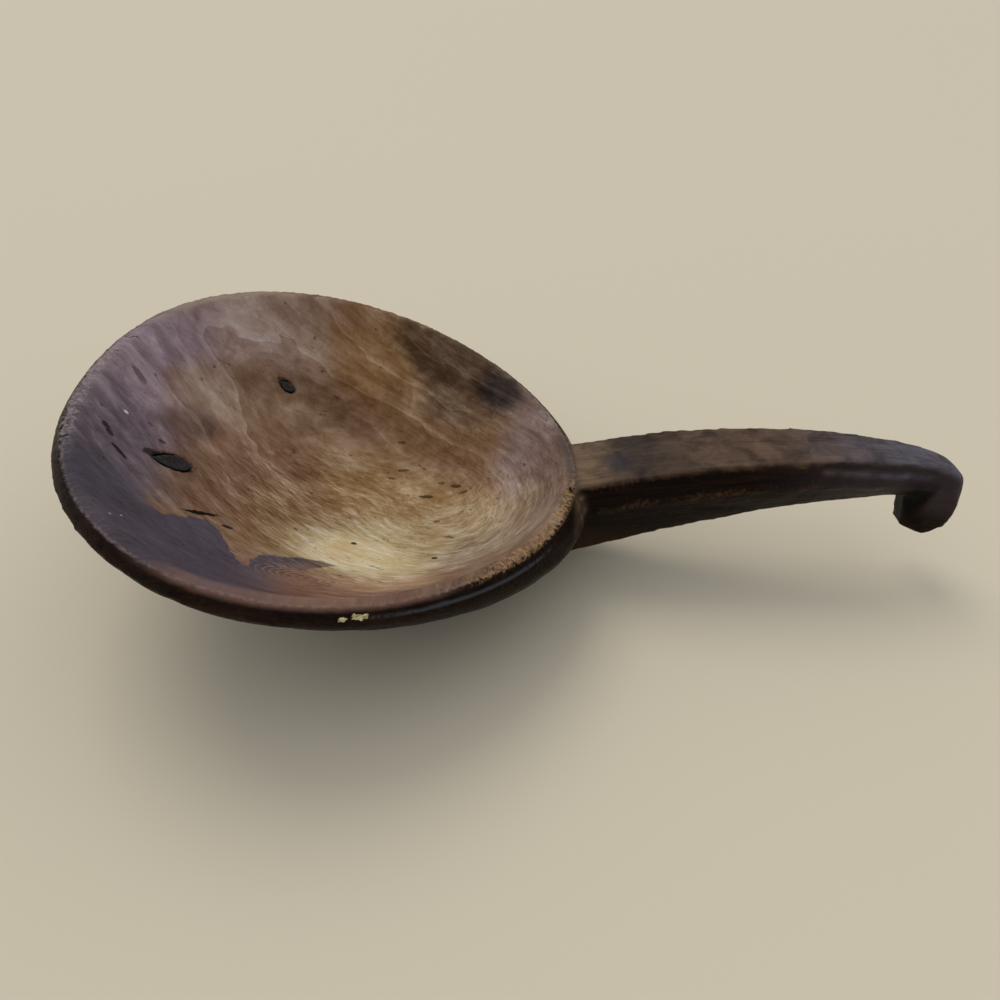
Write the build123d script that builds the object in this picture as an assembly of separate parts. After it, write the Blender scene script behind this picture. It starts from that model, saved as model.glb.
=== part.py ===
from build123d import *
import os
from dataclasses import dataclass
from math import cos, pi, sin, radians

# A butter paddle, carved in one piece from a block of maple or fruitwood.
# Sizes are millimetres and degrees. The bowl, the handle and the hook are drawn
# in the rim's own frame: X runs from the bowl's centre out along the handle,
# Z stands square to the rim, and the rim's crest lies at Z = 0.

# Rim, seen from above
RIM_RADIUS = 75.0            # mean radius of the rim's outer crest
RIM_WIDENING = 3.0           # wider across than round by this, and shorter by it
RIM_POINT = 2.4              # drawn out towards the neck and the two front corners
LIP_WIDTH = 3.2              # worn lip, from the outer crest to the hollow
BULGE = 2.3                  # the outer wall stands proud of the crest by this
BULGE_DROP = 4.4             # and is at its widest this far below the crest
BULGE_ROUND = 1.4            # how round the wall runs from the bulge up to the crest

# Hollow of the bowl
HOLLOW_DEPTH = 33.0          # deepest point below the rim
HOLLOW_FULLNESS = 2.6        # 2 is a plain dish, and more has steeper walls
HOLLOW_SHIFT = 12.0          # the deepest point lies this far towards the handle

# Underside of the bowl
KEEL_DEPTH = 52.0            # depth of the underside before its sole was worn flat
KEEL_SHIFT = 38.0            # its lowest point lies this far towards the handle
KEEL_SHIFT_ONSET = 3.0       # high keeps the wall upright, and shifts the keel late
BULGE_SHOULDER = 2.0         # extra reach towards the neck, at the bulge
KEEL_SHOULDER = 24.0         # extra reach towards the neck, growing down to the keel
SHOULDER_ONSET = 0.45        # low lets the shoulder grow at once, under the bulge
SHOULDER_FOCUS = 3           # high keeps the shoulder close to the handle
UNDERSIDE_BOW = 1.1          # how slowly the wall turns in under the bulge
UNDERSIDE_ROUND = 0.7        # how round it closes at the keel

# How the paddle stands on a table, on its worn sole
REST_TILT = 11.4             # the handle's end dips by this angle
RIM_HEIGHT = 51.0            # height of the rim's centre above the table
RIM_SETBACK = 20.0           # the rim's centre lies this far behind the sole's centre

# Handle
NECK_REACH = 75.0            # from the bowl's centre to the root of the handle
HANDLE_LENGTH = 112.0        # from the neck to the last full section, at the hook
HANDLE_ROOT = 35.0           # the handle runs this far back into the bowl's wall
NECK_HEIGHT = 0.5            # top of the handle at the neck, above the rim
TIP_HEIGHT = 32.0            # top of the handle at the hook, above the rim
ARCH = 6.6                   # how far the top line bows above a straight one
NECK_TOP_WIDTH = 24.0        # flat top facet, at the neck
TIP_TOP_WIDTH = 10.6         # flat top facet, at the hook
TAPER_POWER = 1.9            # the top facet keeps its width, then narrows near the hook
FLANK_FLARE = 3.2            # each upper flank leans out by this
NECK_FLANK_DROP = 10.5       # height of an upper flank at the neck
TIP_FLANK_DROP = 7.2         # height of an upper flank at the hook
NECK_LOWER_DROP = 23.0       # height of a lower flank at the neck
TIP_LOWER_DROP = 4.0         # height of a lower flank at the hook
LOWER_TAPER = 0.62           # width under the lower flanks, as a share of the widest
KEEL_ROUND_DROP = 1.8        # the handle's underside is rounded down by this

# Hook, a stubby post that leans outwards under the handle's end
HOOK_LEAN = 27.0             # lean away from the bowl
HOOK_REACH = 178.5           # where its inner face leaves the handle's underside
HOOK_REACH_HEIGHT = 20.0     # height of that place above the rim
HOOK_THICKNESS = 18.6        # along the handle
HOOK_WIDTH = 16.4            # across the handle
HOOK_DROP = 17.2             # from the handle's underside to the hook's foot
HOOK_INNER_CHAMFER = 5.2     # cut corners that face the bowl
HOOK_OUTER_CHAMFER = 3.8     # cut corners at the far end
HOOK_FOOT_CHAMFER = 1.3      # worn edge round the foot
HOOK_SUNK = 0.2              # the post stops this far below the flanks' ridge
NOSE_RADIUS = 9.5            # rounding of the handle's end, seen from the side
NOSE_SETBACK = 2.5           # the rounding starts this far before the last full section

# Dead knots, each a separate plug of dark wood in its own pocket of the hollow
KNOT_GAP = 0.3               # shrinkage gap round each knot


@dataclass(frozen=True)
class Knot:
    """A dead knot: its place in the hollow, its size and how its grain is turned."""

    x: float
    y: float
    length: float
    width: float
    depth: float
    turn: float


LARGE_KNOT = Knot(x=-43.2, y=-16.0, length=12.4, width=5.6, depth=2.8, turn=30.0)
SMALL_KNOT = Knot(x=-22.2, y=42.2, length=5.8, width=3.6, depth=2.4, turn=-18.0)

# Outline of a knot, as shares of its half length and half width
KNOT_OUTLINE = [
    (-1.0, 0.0),
    (-0.45, 0.6),
    (0.15, 1.0),
    (0.75, 0.75),
    (1.0, 0.0),
    (0.7, -0.75),
    (0.05, -1.0),
    (-0.55, -0.6),
]

# Working values
OUTLINE_POINTS = 20          # points on each outline of the bowl
OVERLAP = 10.0               # cutters and blanks run past what they cut by this


def outline(size, shoulder=0.0, shift=0.0):
    """Closed egg outline: the rim's shape, scaled, shifted and drawn out at the neck."""
    points = []
    for step in range(OUTLINE_POINTS):
        angle = 2 * pi * step / OUTLINE_POINTS
        reach = RIM_RADIUS - RIM_WIDENING * cos(2 * angle) + RIM_POINT * cos(3 * angle)
        reach = reach * size + shoulder * ((1 + cos(angle)) / 2) ** SHOULDER_FOCUS
        points.append((shift + reach * cos(angle), reach * sin(angle)))
    return make_face(Spline(*points, periodic=True))


def bowl_underside():
    """Solid under the rim's bulge, down to a keel that the table then cuts flat."""
    sections = []
    widest = 1 + BULGE / RIM_RADIUS
    for fraction in (0.0, 0.12, 0.28, 0.48, 0.68, 0.85, 0.97):
        closing = (1 - fraction ** UNDERSIDE_BOW) ** UNDERSIDE_ROUND
        depth = BULGE_DROP + (KEEL_DEPTH - BULGE_DROP) * fraction
        growth = (KEEL_SHOULDER - BULGE_SHOULDER) * fraction ** SHOULDER_ONSET
        face = outline(
            widest * closing,
            shoulder=(BULGE_SHOULDER + growth) * closing,
            shift=KEEL_SHIFT * fraction ** KEEL_SHIFT_ONSET,
        )
        sections.append(Location((0, 0, -depth)) * face)
    return loft(sections)


def rim_band():
    """Rounded band between the widest line of the wall and the crest."""
    sections = []
    for fraction in (0.0, 0.35, 0.7, 1.0):
        proud = 1 - fraction ** BULGE_ROUND
        face = outline(1 + BULGE / RIM_RADIUS * proud, shoulder=BULGE_SHOULDER * proud)
        sections.append(Location((0, 0, -BULGE_DROP * (1 - fraction))) * face)
    return loft(sections)


def hollow():
    """What is carved out of the bowl, from above the rim to a small flat floor."""
    mouth = 1 - LIP_WIDTH / RIM_RADIUS
    sections = []
    for share in (1.0, 0.93, 0.84, 0.73, 0.6, 0.45, 0.3, 0.15):
        fraction = 1 - share ** HOLLOW_FULLNESS
        face = outline(mouth * share, shift=HOLLOW_SHIFT * fraction)
        sections.append(Location((0, 0, -HOLLOW_DEPTH * fraction)) * face)
    return loft(sections) + extrude(outline(mouth), OVERLAP)


def handle_heights(reach):
    """Heights of the top facet, the flanks' ridge and the lower flanks' foot."""
    along = (reach - NECK_REACH) / HANDLE_LENGTH
    straight = NECK_HEIGHT + (TIP_HEIGHT - NECK_HEIGHT) * along
    top = straight + ARCH * 4 * along * (1 - along)
    ridge = top - NECK_FLANK_DROP - (TIP_FLANK_DROP - NECK_FLANK_DROP) * along
    lower = ridge - NECK_LOWER_DROP - (TIP_LOWER_DROP - NECK_LOWER_DROP) * along
    return top, ridge, lower


def handle_section(reach):
    """Eight-sided section of the handle, square to X."""
    along = (reach - NECK_REACH) / HANDLE_LENGTH
    narrowing = min(max(along, 0.0), 1.0) ** TAPER_POWER
    top_half = (NECK_TOP_WIDTH + (TIP_TOP_WIDTH - NECK_TOP_WIDTH) * narrowing) / 2
    ridge_half = top_half + FLANK_FLARE
    lower_half = ridge_half * LOWER_TAPER
    top, ridge, lower = handle_heights(reach)
    half = [
        (top_half, top),
        (ridge_half, ridge),
        (lower_half, lower),
        (lower_half / 2, lower - KEEL_ROUND_DROP),
    ]
    mirrored = [(-across, height) for across, height in reversed(half)]
    face = make_face(Polyline(*half, *mirrored, close=True))
    return Plane(origin=(reach, 0, 0), x_dir=(0, 1, 0), z_dir=(1, 0, 0)) * face


def handle():
    """The whittled handle, from inside the bowl's wall to past the hook."""
    root = NECK_REACH - HANDLE_ROOT
    length = HANDLE_ROOT + HANDLE_LENGTH + OVERLAP
    steps = 8
    sections = [handle_section(root + length * step / steps) for step in range(steps + 1)]
    return loft(sections) & nose() & end_plan()


def hook_frame():
    """Frame at the hook's inner face: X out through its thickness, Z up its lean."""
    lean = radians(HOOK_LEAN)
    return Plane(
        origin=(HOOK_REACH, 0, HOOK_REACH_HEIGHT),
        x_dir=(cos(lean), 0, sin(lean)),
        z_dir=(-sin(lean), 0, cos(lean)),
    )


def nose():
    """Side outline that trims the handle's end to its rounded nose and leaning end face."""
    frame = hook_frame()
    out = frame.x_dir
    up = Vector(0, 0, 1)
    end_face = frame.from_local_coords((HOOK_THICKNESS, 0, 0))
    start = NECK_REACH + HANDLE_LENGTH - NOSE_SETBACK
    centre = Vector(start, 0, handle_heights(start)[0] - NOSE_RADIUS)
    centre = centre + out * ((Vector(end_face) - centre).dot(out) - NOSE_RADIUS)
    crown = centre + up * NOSE_RADIUS
    middle = centre + (out + up).normalized() * NOSE_RADIUS
    tangent = centre + out * NOSE_RADIUS
    foot = tangent - frame.z_dir * (HOOK_DROP + 2 * OVERLAP)
    above = crown + up * OVERLAP
    back = Vector(0, 0, above.Z)
    under = Vector(0, 0, -KEEL_DEPTH - OVERLAP)
    toe = Vector(foot.X, 0, under.Z)
    edges = [
        Line(back, above),
        Line(above, crown),
        ThreePointArc(crown, middle, tangent),
        Line(tangent, foot),
        Line(foot, toe),
        Line(toe, under),
        Line(under, back),
    ]
    return extrude(make_face(edges), NECK_TOP_WIDTH * 2, both=True)


def end_plan():
    """Plan outline that cuts the corners of the handle's end, as the hook's are cut."""
    wide = NECK_TOP_WIDTH
    flat = HOOK_WIDTH / 2 - HOOK_OUTER_CHAMFER
    cut_back = HOOK_THICKNESS - (wide - flat)
    back = -(HOOK_REACH + OVERLAP)
    corners = [
        (back, -wide),
        (cut_back, -wide),
        (HOOK_THICKNESS, -flat),
        (HOOK_THICKNESS, flat),
        (cut_back, wide),
        (back, wide),
    ]
    face = make_face(Polyline(*corners, close=True))
    return extrude(hook_frame() * face, HOOK_REACH, both=True)


def hook():
    """The post: an octagon with unequal cut corners, chamfered round its foot."""
    half = HOOK_WIDTH / 2
    inner = HOOK_INNER_CHAMFER
    outer = HOOK_OUTER_CHAMFER
    corners = [
        (inner, -half),
        (HOOK_THICKNESS - outer, -half),
        (HOOK_THICKNESS, -half + outer),
        (HOOK_THICKNESS, half - outer),
        (HOOK_THICKNESS - outer, half),
        (inner, half),
        (0, half - inner),
        (0, -half + inner),
    ]
    frame = hook_frame()
    face = make_face(Polyline(*corners, close=True))
    post = extrude(frame * face, OVERLAP) + extrude(frame * face, -HOOK_DROP)
    foot = post.faces().sort_by(Axis((0, 0, 0), frame.z_dir))[0]
    post = chamfer(foot.edges(), HOOK_FOOT_CHAMFER)
    return post & under_ridge()


def under_ridge():
    """Everything below the flanks' ridge, so that the post ends inside the handle."""
    near = HOOK_REACH - OVERLAP
    far = NECK_REACH + HANDLE_LENGTH + OVERLAP
    corners = [
        (near, 0, -KEEL_DEPTH),
        (far, 0, -KEEL_DEPTH),
        (far, 0, handle_heights(far)[1] - HOOK_SUNK),
        (near, 0, handle_heights(near)[1] - HOOK_SUNK),
    ]
    face = make_face(Polyline(*corners, close=True))
    return extrude(face, HOOK_WIDTH, both=True)


def knot_frame(knot, cavity):
    """Frame on the hollow's surface at a knot: Z out of the wood, X along the knot."""
    downwards = Axis((knot.x, knot.y, OVERLAP), (0, 0, -1))
    hits = cavity.find_intersection_points(downwards)
    place, normal = min(hits, key=lambda hit: hit[0].Z)
    out = -normal
    turn = radians(knot.turn)
    heading = Vector(cos(turn), sin(turn), 0)
    along = (heading - out * heading.dot(out)).normalized()
    return Plane(origin=place, x_dir=along, z_dir=out)


def knot_prism(knot, frame, gap):
    """Straight-sided plug round a knot's outline, from its flat seat to above the wood."""
    half_length = knot.length / 2 + gap
    half_width = knot.width / 2 + gap
    points = [(along * half_length, across * half_width) for along, across in KNOT_OUTLINE]
    face = make_face(Spline(*points, periodic=True))
    seat = frame.offset(-knot.depth)
    return extrude(seat * face, knot.depth + OVERLAP)


def table_cut():
    """Everything below the table's surface, which wears the sole flat."""
    reach = 3 * RIM_RADIUS
    return Pos(0, 0, -reach) * Box(2 * reach, 2 * reach, 2 * reach)


def standing(solid):
    """Move a solid from the rim's frame to where it stands on the table."""
    tilt = radians(REST_TILT)
    frame = Plane(
        origin=(-RIM_SETBACK, 0, RIM_HEIGHT),
        x_dir=(cos(tilt), 0, -sin(tilt)),
        z_dir=(sin(tilt), 0, cos(tilt)),
    )
    return frame.location * solid


def build():
    """The paddle and its two knots, each as a named solid that stands on the table."""
    cavity = hollow()
    carved = bowl_underside() + rim_band() + handle() + hook() - cavity
    knots = {"large_knot": LARGE_KNOT, "small_knot": SMALL_KNOT}
    solids = {}
    pocketed = carved
    for name, knot in knots.items():
        frame = knot_frame(knot, cavity)
        solids[name] = standing(knot_prism(knot, frame, 0.0) & carved)
        pocketed = pocketed - knot_prism(knot, frame, KNOT_GAP)
    solids["paddle"] = standing(pocketed) - table_cut()
    return solids


if __name__ == "__main__":
    os.makedirs("parts", exist_ok=True)
    for name, solid in build().items():
        solid.label = name
        export_step(solid, f"parts/{name}.step")
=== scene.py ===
"""Looks of an old hand-carved butter paddle: a wooden bowl, an arched handle and a hook, with two dead knots.

Lengths are millimetres in the paddle's rim frame unless a name says otherwise: X runs from the
bowl's centre out along the handle, Y across the bowl, and Z square to the rim, with the crest at 0.
"""

import logging
import math
from dataclasses import dataclass, field
from enum import Enum

import bpy
import numpy as np
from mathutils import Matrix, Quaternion, Vector, noise
from mathutils.bvhtree import BVHTree

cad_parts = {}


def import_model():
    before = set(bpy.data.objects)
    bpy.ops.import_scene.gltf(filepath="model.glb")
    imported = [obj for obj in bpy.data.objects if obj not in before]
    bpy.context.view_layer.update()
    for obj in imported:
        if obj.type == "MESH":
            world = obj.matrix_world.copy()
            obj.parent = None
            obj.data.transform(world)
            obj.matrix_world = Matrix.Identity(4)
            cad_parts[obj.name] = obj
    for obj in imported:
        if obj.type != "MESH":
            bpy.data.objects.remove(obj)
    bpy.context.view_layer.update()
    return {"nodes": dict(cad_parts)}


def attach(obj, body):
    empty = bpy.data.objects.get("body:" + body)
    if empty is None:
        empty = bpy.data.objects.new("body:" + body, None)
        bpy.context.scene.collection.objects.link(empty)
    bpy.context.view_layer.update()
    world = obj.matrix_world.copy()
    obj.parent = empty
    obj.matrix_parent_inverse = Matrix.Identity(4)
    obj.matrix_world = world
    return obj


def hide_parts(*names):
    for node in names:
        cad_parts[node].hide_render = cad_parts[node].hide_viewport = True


LOG = logging.getLogger("butter_paddle")
MM = 0.001


class Slot(Enum):
    """Material slots of the record."""

    WOOD = "aged_wood"
    KNOT = "knot_wood"


class Mark(Enum):
    """Names of the measurements that the carved mesh carries for its finish."""

    SIDE = "hollow_side"
    STAIN = "stain_mm"
    EDGE = "edge_wear"
    TOP = "handle_top"


# Small helpers

def linear(code: str) -> tuple[float, float, float, float]:
    """Turn an sRGB hex colour into the linear colour that shaders take.

    Args:
        code: Six hex digits after a hash sign.

    Returns:
        Red, green, blue and an alpha of 1.
    """
    parts = [int(code[place : place + 2], 16) / 255 for place in (1, 3, 5)]
    shades = [s / 12.92 if s <= 0.04045 else ((s + 0.055) / 1.055) ** 2.4 for s in parts]
    return (shades[0], shades[1], shades[2], 1.0)


def add_node(tree: bpy.types.NodeTree, kind: str, links: dict | None = None, **settings) -> bpy.types.Node:
    """Add a shader node with its settings, values and links.

    Args:
        tree: The material's node tree.
        kind: Blender's name for the node.
        links: Input names or numbers, each with a value or the socket that feeds it.
        **settings: The node's own properties.

    Returns:
        The new node.
    """
    node = tree.nodes.new(kind)
    for name, value in settings.items():
        setattr(node, name, value)
    for key, value in (links or {}).items():
        if isinstance(value, bpy.types.NodeSocket):
            tree.links.new(value, node.inputs[key])
        else:
            node.inputs[key].default_value = value
    return node


def only(obj: bpy.types.Object) -> None:
    """Select one object and nothing else, and make it active."""
    if bpy.context.mode != "OBJECT":
        bpy.ops.object.mode_set(mode="OBJECT")
    bpy.ops.object.select_all(action="DESELECT")
    obj.select_set(True)
    bpy.context.view_layer.objects.active = obj


def applied(obj: bpy.types.Object, kind: str, **settings) -> None:
    """Add a modifier to an object and apply it.

    Args:
        obj: The mesh to change.
        kind: Blender's name for the modifier.
        **settings: The modifier's properties.
    """
    only(obj)
    modifier = obj.modifiers.new(kind.lower(), kind)
    for name, value in settings.items():
        setattr(modifier, name, value)
    bpy.ops.object.modifier_apply(modifier=modifier.name)


def merged_copy(node: bpy.types.Object, name: str) -> bpy.types.Object:
    """Copy a CAD node's mesh and merge its loose triangles into one skin.

    Args:
        node: The CAD node, which stays as it is.
        name: Name of the new piece.

    Returns:
        The new object, at the origin.
    """
    piece = bpy.data.objects.new(name, node.data.copy())
    bpy.context.scene.collection.objects.link(piece)
    piece.data.name = name
    piece.data.materials.clear()
    only(piece)
    bpy.ops.object.mode_set(mode="EDIT")
    bpy.ops.mesh.select_all(action="SELECT")
    bpy.ops.mesh.remove_doubles(threshold=2e-6)
    bpy.ops.object.mode_set(mode="OBJECT")
    return piece


def points_of(obj: bpy.types.Object) -> np.ndarray:
    """Vertex positions of a mesh, in metres."""
    co = np.empty(len(obj.data.vertices) * 3, np.float32)
    obj.data.vertices.foreach_get("co", co)
    return co.reshape(-1, 3).astype(float)


def normals_of(obj: bpy.types.Object) -> np.ndarray:
    """Vertex normals of a mesh."""
    co = np.empty(len(obj.data.vertices) * 3, np.float32)
    obj.data.vertex_normals.foreach_get("vector", co)
    return co.reshape(-1, 3).astype(float)


def put_points(obj: bpy.types.Object, points: np.ndarray) -> None:
    """Write vertex positions, in metres, back to a mesh."""
    obj.data.vertices.foreach_set("co", points.astype(np.float32).ravel())
    obj.data.update()


def relaxed(obj: bpy.types.Object, values: np.ndarray, rounds: int) -> np.ndarray:
    """Average values over each vertex's neighbours.

    Args:
        obj: The mesh whose edges say which vertices are neighbours.
        values: One row per vertex.
        rounds: How many times to average.

    Returns:
        The averaged values.
    """
    ends = np.empty(len(obj.data.edges) * 2, np.int32)
    obj.data.edges.foreach_get("vertices", ends)
    first, second = ends.reshape(-1, 2).T
    count = np.bincount(ends, minlength=len(values)).astype(float)
    result = values.astype(float)
    for _ in range(rounds):
        total = np.stack(
            [
                np.bincount(first, column[second], len(values)) + np.bincount(second, column[first], len(values))
                for column in result.T
            ],
            axis=1,
        )
        result = 0.5 * result + 0.5 * total / count[:, None]
    return result


def write_mark(obj: bpy.types.Object, mark: Mark, values: np.ndarray) -> None:
    """Store one measurement per vertex for the finish to read.

    Args:
        obj: The mesh.
        mark: Which measurement it is.
        values: One number per vertex.
    """
    layer = obj.data.attributes.new(mark.value, "FLOAT", "POINT")
    layer.data.foreach_set("value", values.astype(np.float32))


def smoothstep(value: np.ndarray, low: float, high: float) -> np.ndarray:
    """Run from 0 at low to 1 at high without a corner."""
    share = np.clip((value - low) / (high - low), 0, 1)
    return share * share * (3 - 2 * share)


# Shape

@dataclass(frozen=True)
class RimFrame:
    """How the rim frame stands in the row frame."""

    tilt: float = 11.4
    setback: float = 20.0
    height: float = 51.0
    radius: float = 75.0
    widening: float = 3.0
    point: float = 2.4
    lip: float = 3.2

    def turn(self) -> np.ndarray:
        """Rotation from the rim frame to the row frame."""
        c = math.cos(math.radians(self.tilt))
        s = math.sin(math.radians(self.tilt))
        return np.array([[c, 0, s], [0, 1, 0], [-s, 0, c]])

    def shift(self) -> np.ndarray:
        """Place of the rim's centre in the row frame."""
        return np.array([-self.setback, 0.0, self.height])

    def from_row(self, metres: np.ndarray) -> np.ndarray:
        """Row frame metres to rim frame millimetres."""
        return (metres / MM - self.shift()) @ self.turn()

    def to_row(self, millimetres: np.ndarray) -> np.ndarray:
        """Rim frame millimetres to row frame metres."""
        return (np.asarray(millimetres, float) @ self.turn().T + self.shift()) * MM

    def crest_radius(self, angle: np.ndarray) -> np.ndarray:
        """Radius of the rim's crest at an angle from the handle."""
        return self.radius - self.widening * np.cos(2 * angle) + self.point * np.cos(3 * angle)

    def coordinates(self, tree: bpy.types.NodeTree) -> bpy.types.NodeSocket:
        """Add nodes that give the rim frame's millimetres at a shaded point.

        Args:
            tree: The material's node tree.

        Returns:
            The socket with the coordinates.
        """
        place = add_node(tree, "ShaderNodeTexCoord").outputs["Object"]
        back = -self.shift() @ self.turn()
        mapping = add_node(
            tree,
            "ShaderNodeMapping",
            {
                "Vector": place,
                "Scale": (1 / MM, 1 / MM, 1 / MM),
                "Rotation": (0.0, -math.radians(self.tilt), 0.0),
                "Location": tuple(back),
            },
        )
        return mapping.outputs[0]


    def inward(self, tree: bpy.types.NodeTree, place: bpy.types.NodeSocket) -> bpy.types.NodeSocket:
        """Add nodes that give the distance inwards from the crest, seen from above.

        Args:
            tree: The material's node tree.
            place: Rim frame coordinates.

        Returns:
            The socket with the distance, in millimetres.
        """
        parts = add_node(tree, "ShaderNodeSeparateXYZ", {0: place})
        angle = add_node(tree, "ShaderNodeMath", {0: parts.outputs["Y"], 1: parts.outputs["X"]}, operation="ARCTAN2")
        radius = self.radius
        for turns, swing in ((2.0, -self.widening), (3.0, self.point)):
            multiple = add_node(tree, "ShaderNodeMath", {0: angle.outputs[0], 1: turns}, operation="MULTIPLY")
            wave = add_node(tree, "ShaderNodeMath", {0: multiple.outputs[0]}, operation="COSINE")
            radius = add_node(
                tree, "ShaderNodeMath", {0: wave.outputs[0], 1: swing, 2: radius}, operation="MULTIPLY_ADD"
            ).outputs[0]
        flat = add_node(tree, "ShaderNodeVectorMath", {0: place, 1: (1.0, 1.0, 0.0)}, operation="MULTIPLY")
        far = add_node(tree, "ShaderNodeVectorMath", {0: flat.outputs[0]}, operation="LENGTH")
        return add_node(
            tree, "ShaderNodeMath", {0: radius, 1: far.outputs["Value"]}, operation="SUBTRACT"
        ).outputs[0]


@dataclass(frozen=True)
class Nick:
    """A small dent: where it is, how wide and how deep."""

    place: tuple[float, float, float]
    radius: float
    depth: float


@dataclass
class CarvedPaddle:
    """The bowl, handle and hook, whittled from one block."""

    frame: RimFrame = field(default_factory=RimFrame)
    voxel: float = 0.96
    softening: int = 2
    waviness: float = 0.45
    tool_marks: float = 0.35
    lip_wear: float = 0.5
    tip_rounding: int = 16
    fair_length: float = 7.0
    stain_edge: tuple = (
        (-80, -32), (-62, -33), (-52, -33), (-46, -35), (-42.5, -40), (-37, -41.2), (-32.4, -35.5), (-29.3, -32.3),
        (-26.3, -33.5), (-23, -36.8), (-19.7, -43.2), (-17, -46.8), (-14.1, -48.5), (-13.8, -43.6),
        (-12.5, -39.6), (-8.4, -36.3), (-1.9, -32.9), (3.8, -32.3), (9.3, -33.7), (6, -35.7), (1, -38.2),
        (0, -42.5), (3, -48), (6, -57), (8, -67), (8, -85), (-45, -85), (-80, -60),
    )
    groove: tuple = ((146.0, -10.2, 24.3), (182.0, -8.0, 29.4))
    groove_radius: float = 1.7
    groove_depth: float = 0.8
    nicks: tuple = (
        Nick((73.2, -13.0, 0.2), 2.0, 1.0),
        Nick((75.6, -13.6, -1.2), 1.5, 0.8),
        Nick((77.9, 8.0, 1.9), 1.6, 0.5),
        Nick((67.5, -25.5, 0.0), 2.4, 0.6),
        Nick((62.5, -36.5, 0.0), 3.0, 0.5),
        Nick((55.5, -47.0, 0.0), 2.2, 0.4),
        Nick((-64.0, -34.0, -0.5), 1.5, 0.5),
        Nick((-66.5, 19.5, 0.0), 1.6, 0.6),
        Nick((-45.5, 61.0, 0.0), 2.6, 0.5),
        Nick((12.0, 78.5, 0.0), 2.8, 0.5),
        Nick((35.0, -66.5, 0.0), 3.0, 0.4),
        Nick((193.5, -6.0, 30.5), 2.6, 0.4),
        Nick((118.0, 14.2, 9.0), 2.0, 0.5),
    )

    def build(self, node: bpy.types.Object) -> bpy.types.Object:
        """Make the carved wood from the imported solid.

        Args:
            node: The CAD node of the paddle.

        Returns:
            The finished mesh, with its marks, without a material.
        """
        piece = merged_copy(node, "carved_paddle")
        applied(piece, "REMESH", mode="VOXEL", voxel_size=self.voxel * MM, use_smooth_shade=True)
        applied(piece, "SMOOTH", factor=0.5, iterations=self.softening)
        before = self.frame.from_row(points_of(piece))
        self.carve(piece)
        self.measure(piece, before)
        only(piece)
        bpy.ops.object.shade_smooth()
        return piece

    def carve(self, piece: bpy.types.Object) -> None:
        """Take off what the knife and long use took off. Nothing is added, so the size holds.

        Args:
            piece: The mesh, which is changed.
        """
        metres = points_of(piece)
        rim = self.frame.from_row(metres)
        out = normals_of(piece)
        tip = (smoothstep(rim[:, 0], 172, 188) * smoothstep(rim[:, 2], 20, 27))[:, None]
        metres = metres * (1 - tip) + relaxed(piece, metres, self.tip_rounding) * tip
        metres[:, 2] += self.fairing(rim) * MM
        rim = self.frame.from_row(metres)
        sole = smoothstep(metres[:, 2] / MM, 0.4, 3.0)
        angle = np.arctan2(rim[:, 1], rim[:, 0])
        reach = np.hypot(rim[:, 0], rim[:, 1]) - self.frame.crest_radius(angle)
        lip = np.exp(-((reach + 0.6) / 2.2) ** 2) * (np.abs(rim[:, 2]) < 3.0) * (rim[:, 0] < 74)
        outside = 1 - smoothstep(out @ self.frame.turn()[:, 2], -0.1, 0.35)
        handle = smoothstep(rim[:, 0], 74, 84)
        cut = np.zeros(len(rim))
        for place in range(len(rim)):
            p = Vector(rim[place])
            wave = 0.5 + 0.5 * noise.noise(p / 15.0)
            gap = noise.voronoi(Vector((p.x / 17, p.y / 9, p.z / 9)))[0]
            facet = min(1.0, gap[1] - gap[0])
            rough = abs(noise.noise(p / 3.1)) + 0.6 * abs(noise.noise(p / 1.3))
            carved = max(outside[place], 0.7 * handle[place])
            cut[place] = (
                self.waviness * wave * (0.45 + 0.55 * carved)
                + self.tool_marks * (1 - facet) ** 2 * carved
                + self.lip_wear * rough * lip[place]
            )
        start, end = (np.array(place) for place in self.groove)
        share = np.clip((rim - start) @ (end - start) / ((end - start) @ (end - start)), 0, 1)
        gap = np.linalg.norm(rim - start - share[:, None] * (end - start), axis=1) / self.groove_radius
        cut += self.groove_depth * np.clip(1 - gap**2, 0, 1)
        for nick in self.nicks:
            gap = np.linalg.norm(rim - np.array(nick.place), axis=1) / nick.radius
            cut += nick.depth * np.clip(1 - gap**2, 0, 1)
        put_points(piece, metres - out * (cut * sole * MM)[:, None])

    def fairing(self, rim: np.ndarray) -> np.ndarray:
        """Drop that takes the corners out of the handle's arch.

        Args:
            rim: The mesh's vertices in the rim frame.

        Returns:
            One height per vertex, in millimetres, never above 0.
        """
        steps = np.arange(90.0, rim[:, 0].max() - 1.0, 1.5)
        tops = np.array([rim[np.abs(rim[:, 0] - step) < 1.2, 2].max() for step in steps])
        reach = np.arange(-12, 13)
        weight = np.exp(-((reach * 1.5 / self.fair_length) ** 2) / 2)
        padded = np.pad(tops, 12, mode="reflect", reflect_type="odd")
        smooth = np.convolve(padded, weight / weight.sum(), mode="valid")
        drop = np.minimum(smooth - tops, 0.0)
        return np.interp(rim[:, 0], steps, drop) * smoothstep(rim[:, 0], 90, 100)

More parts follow.
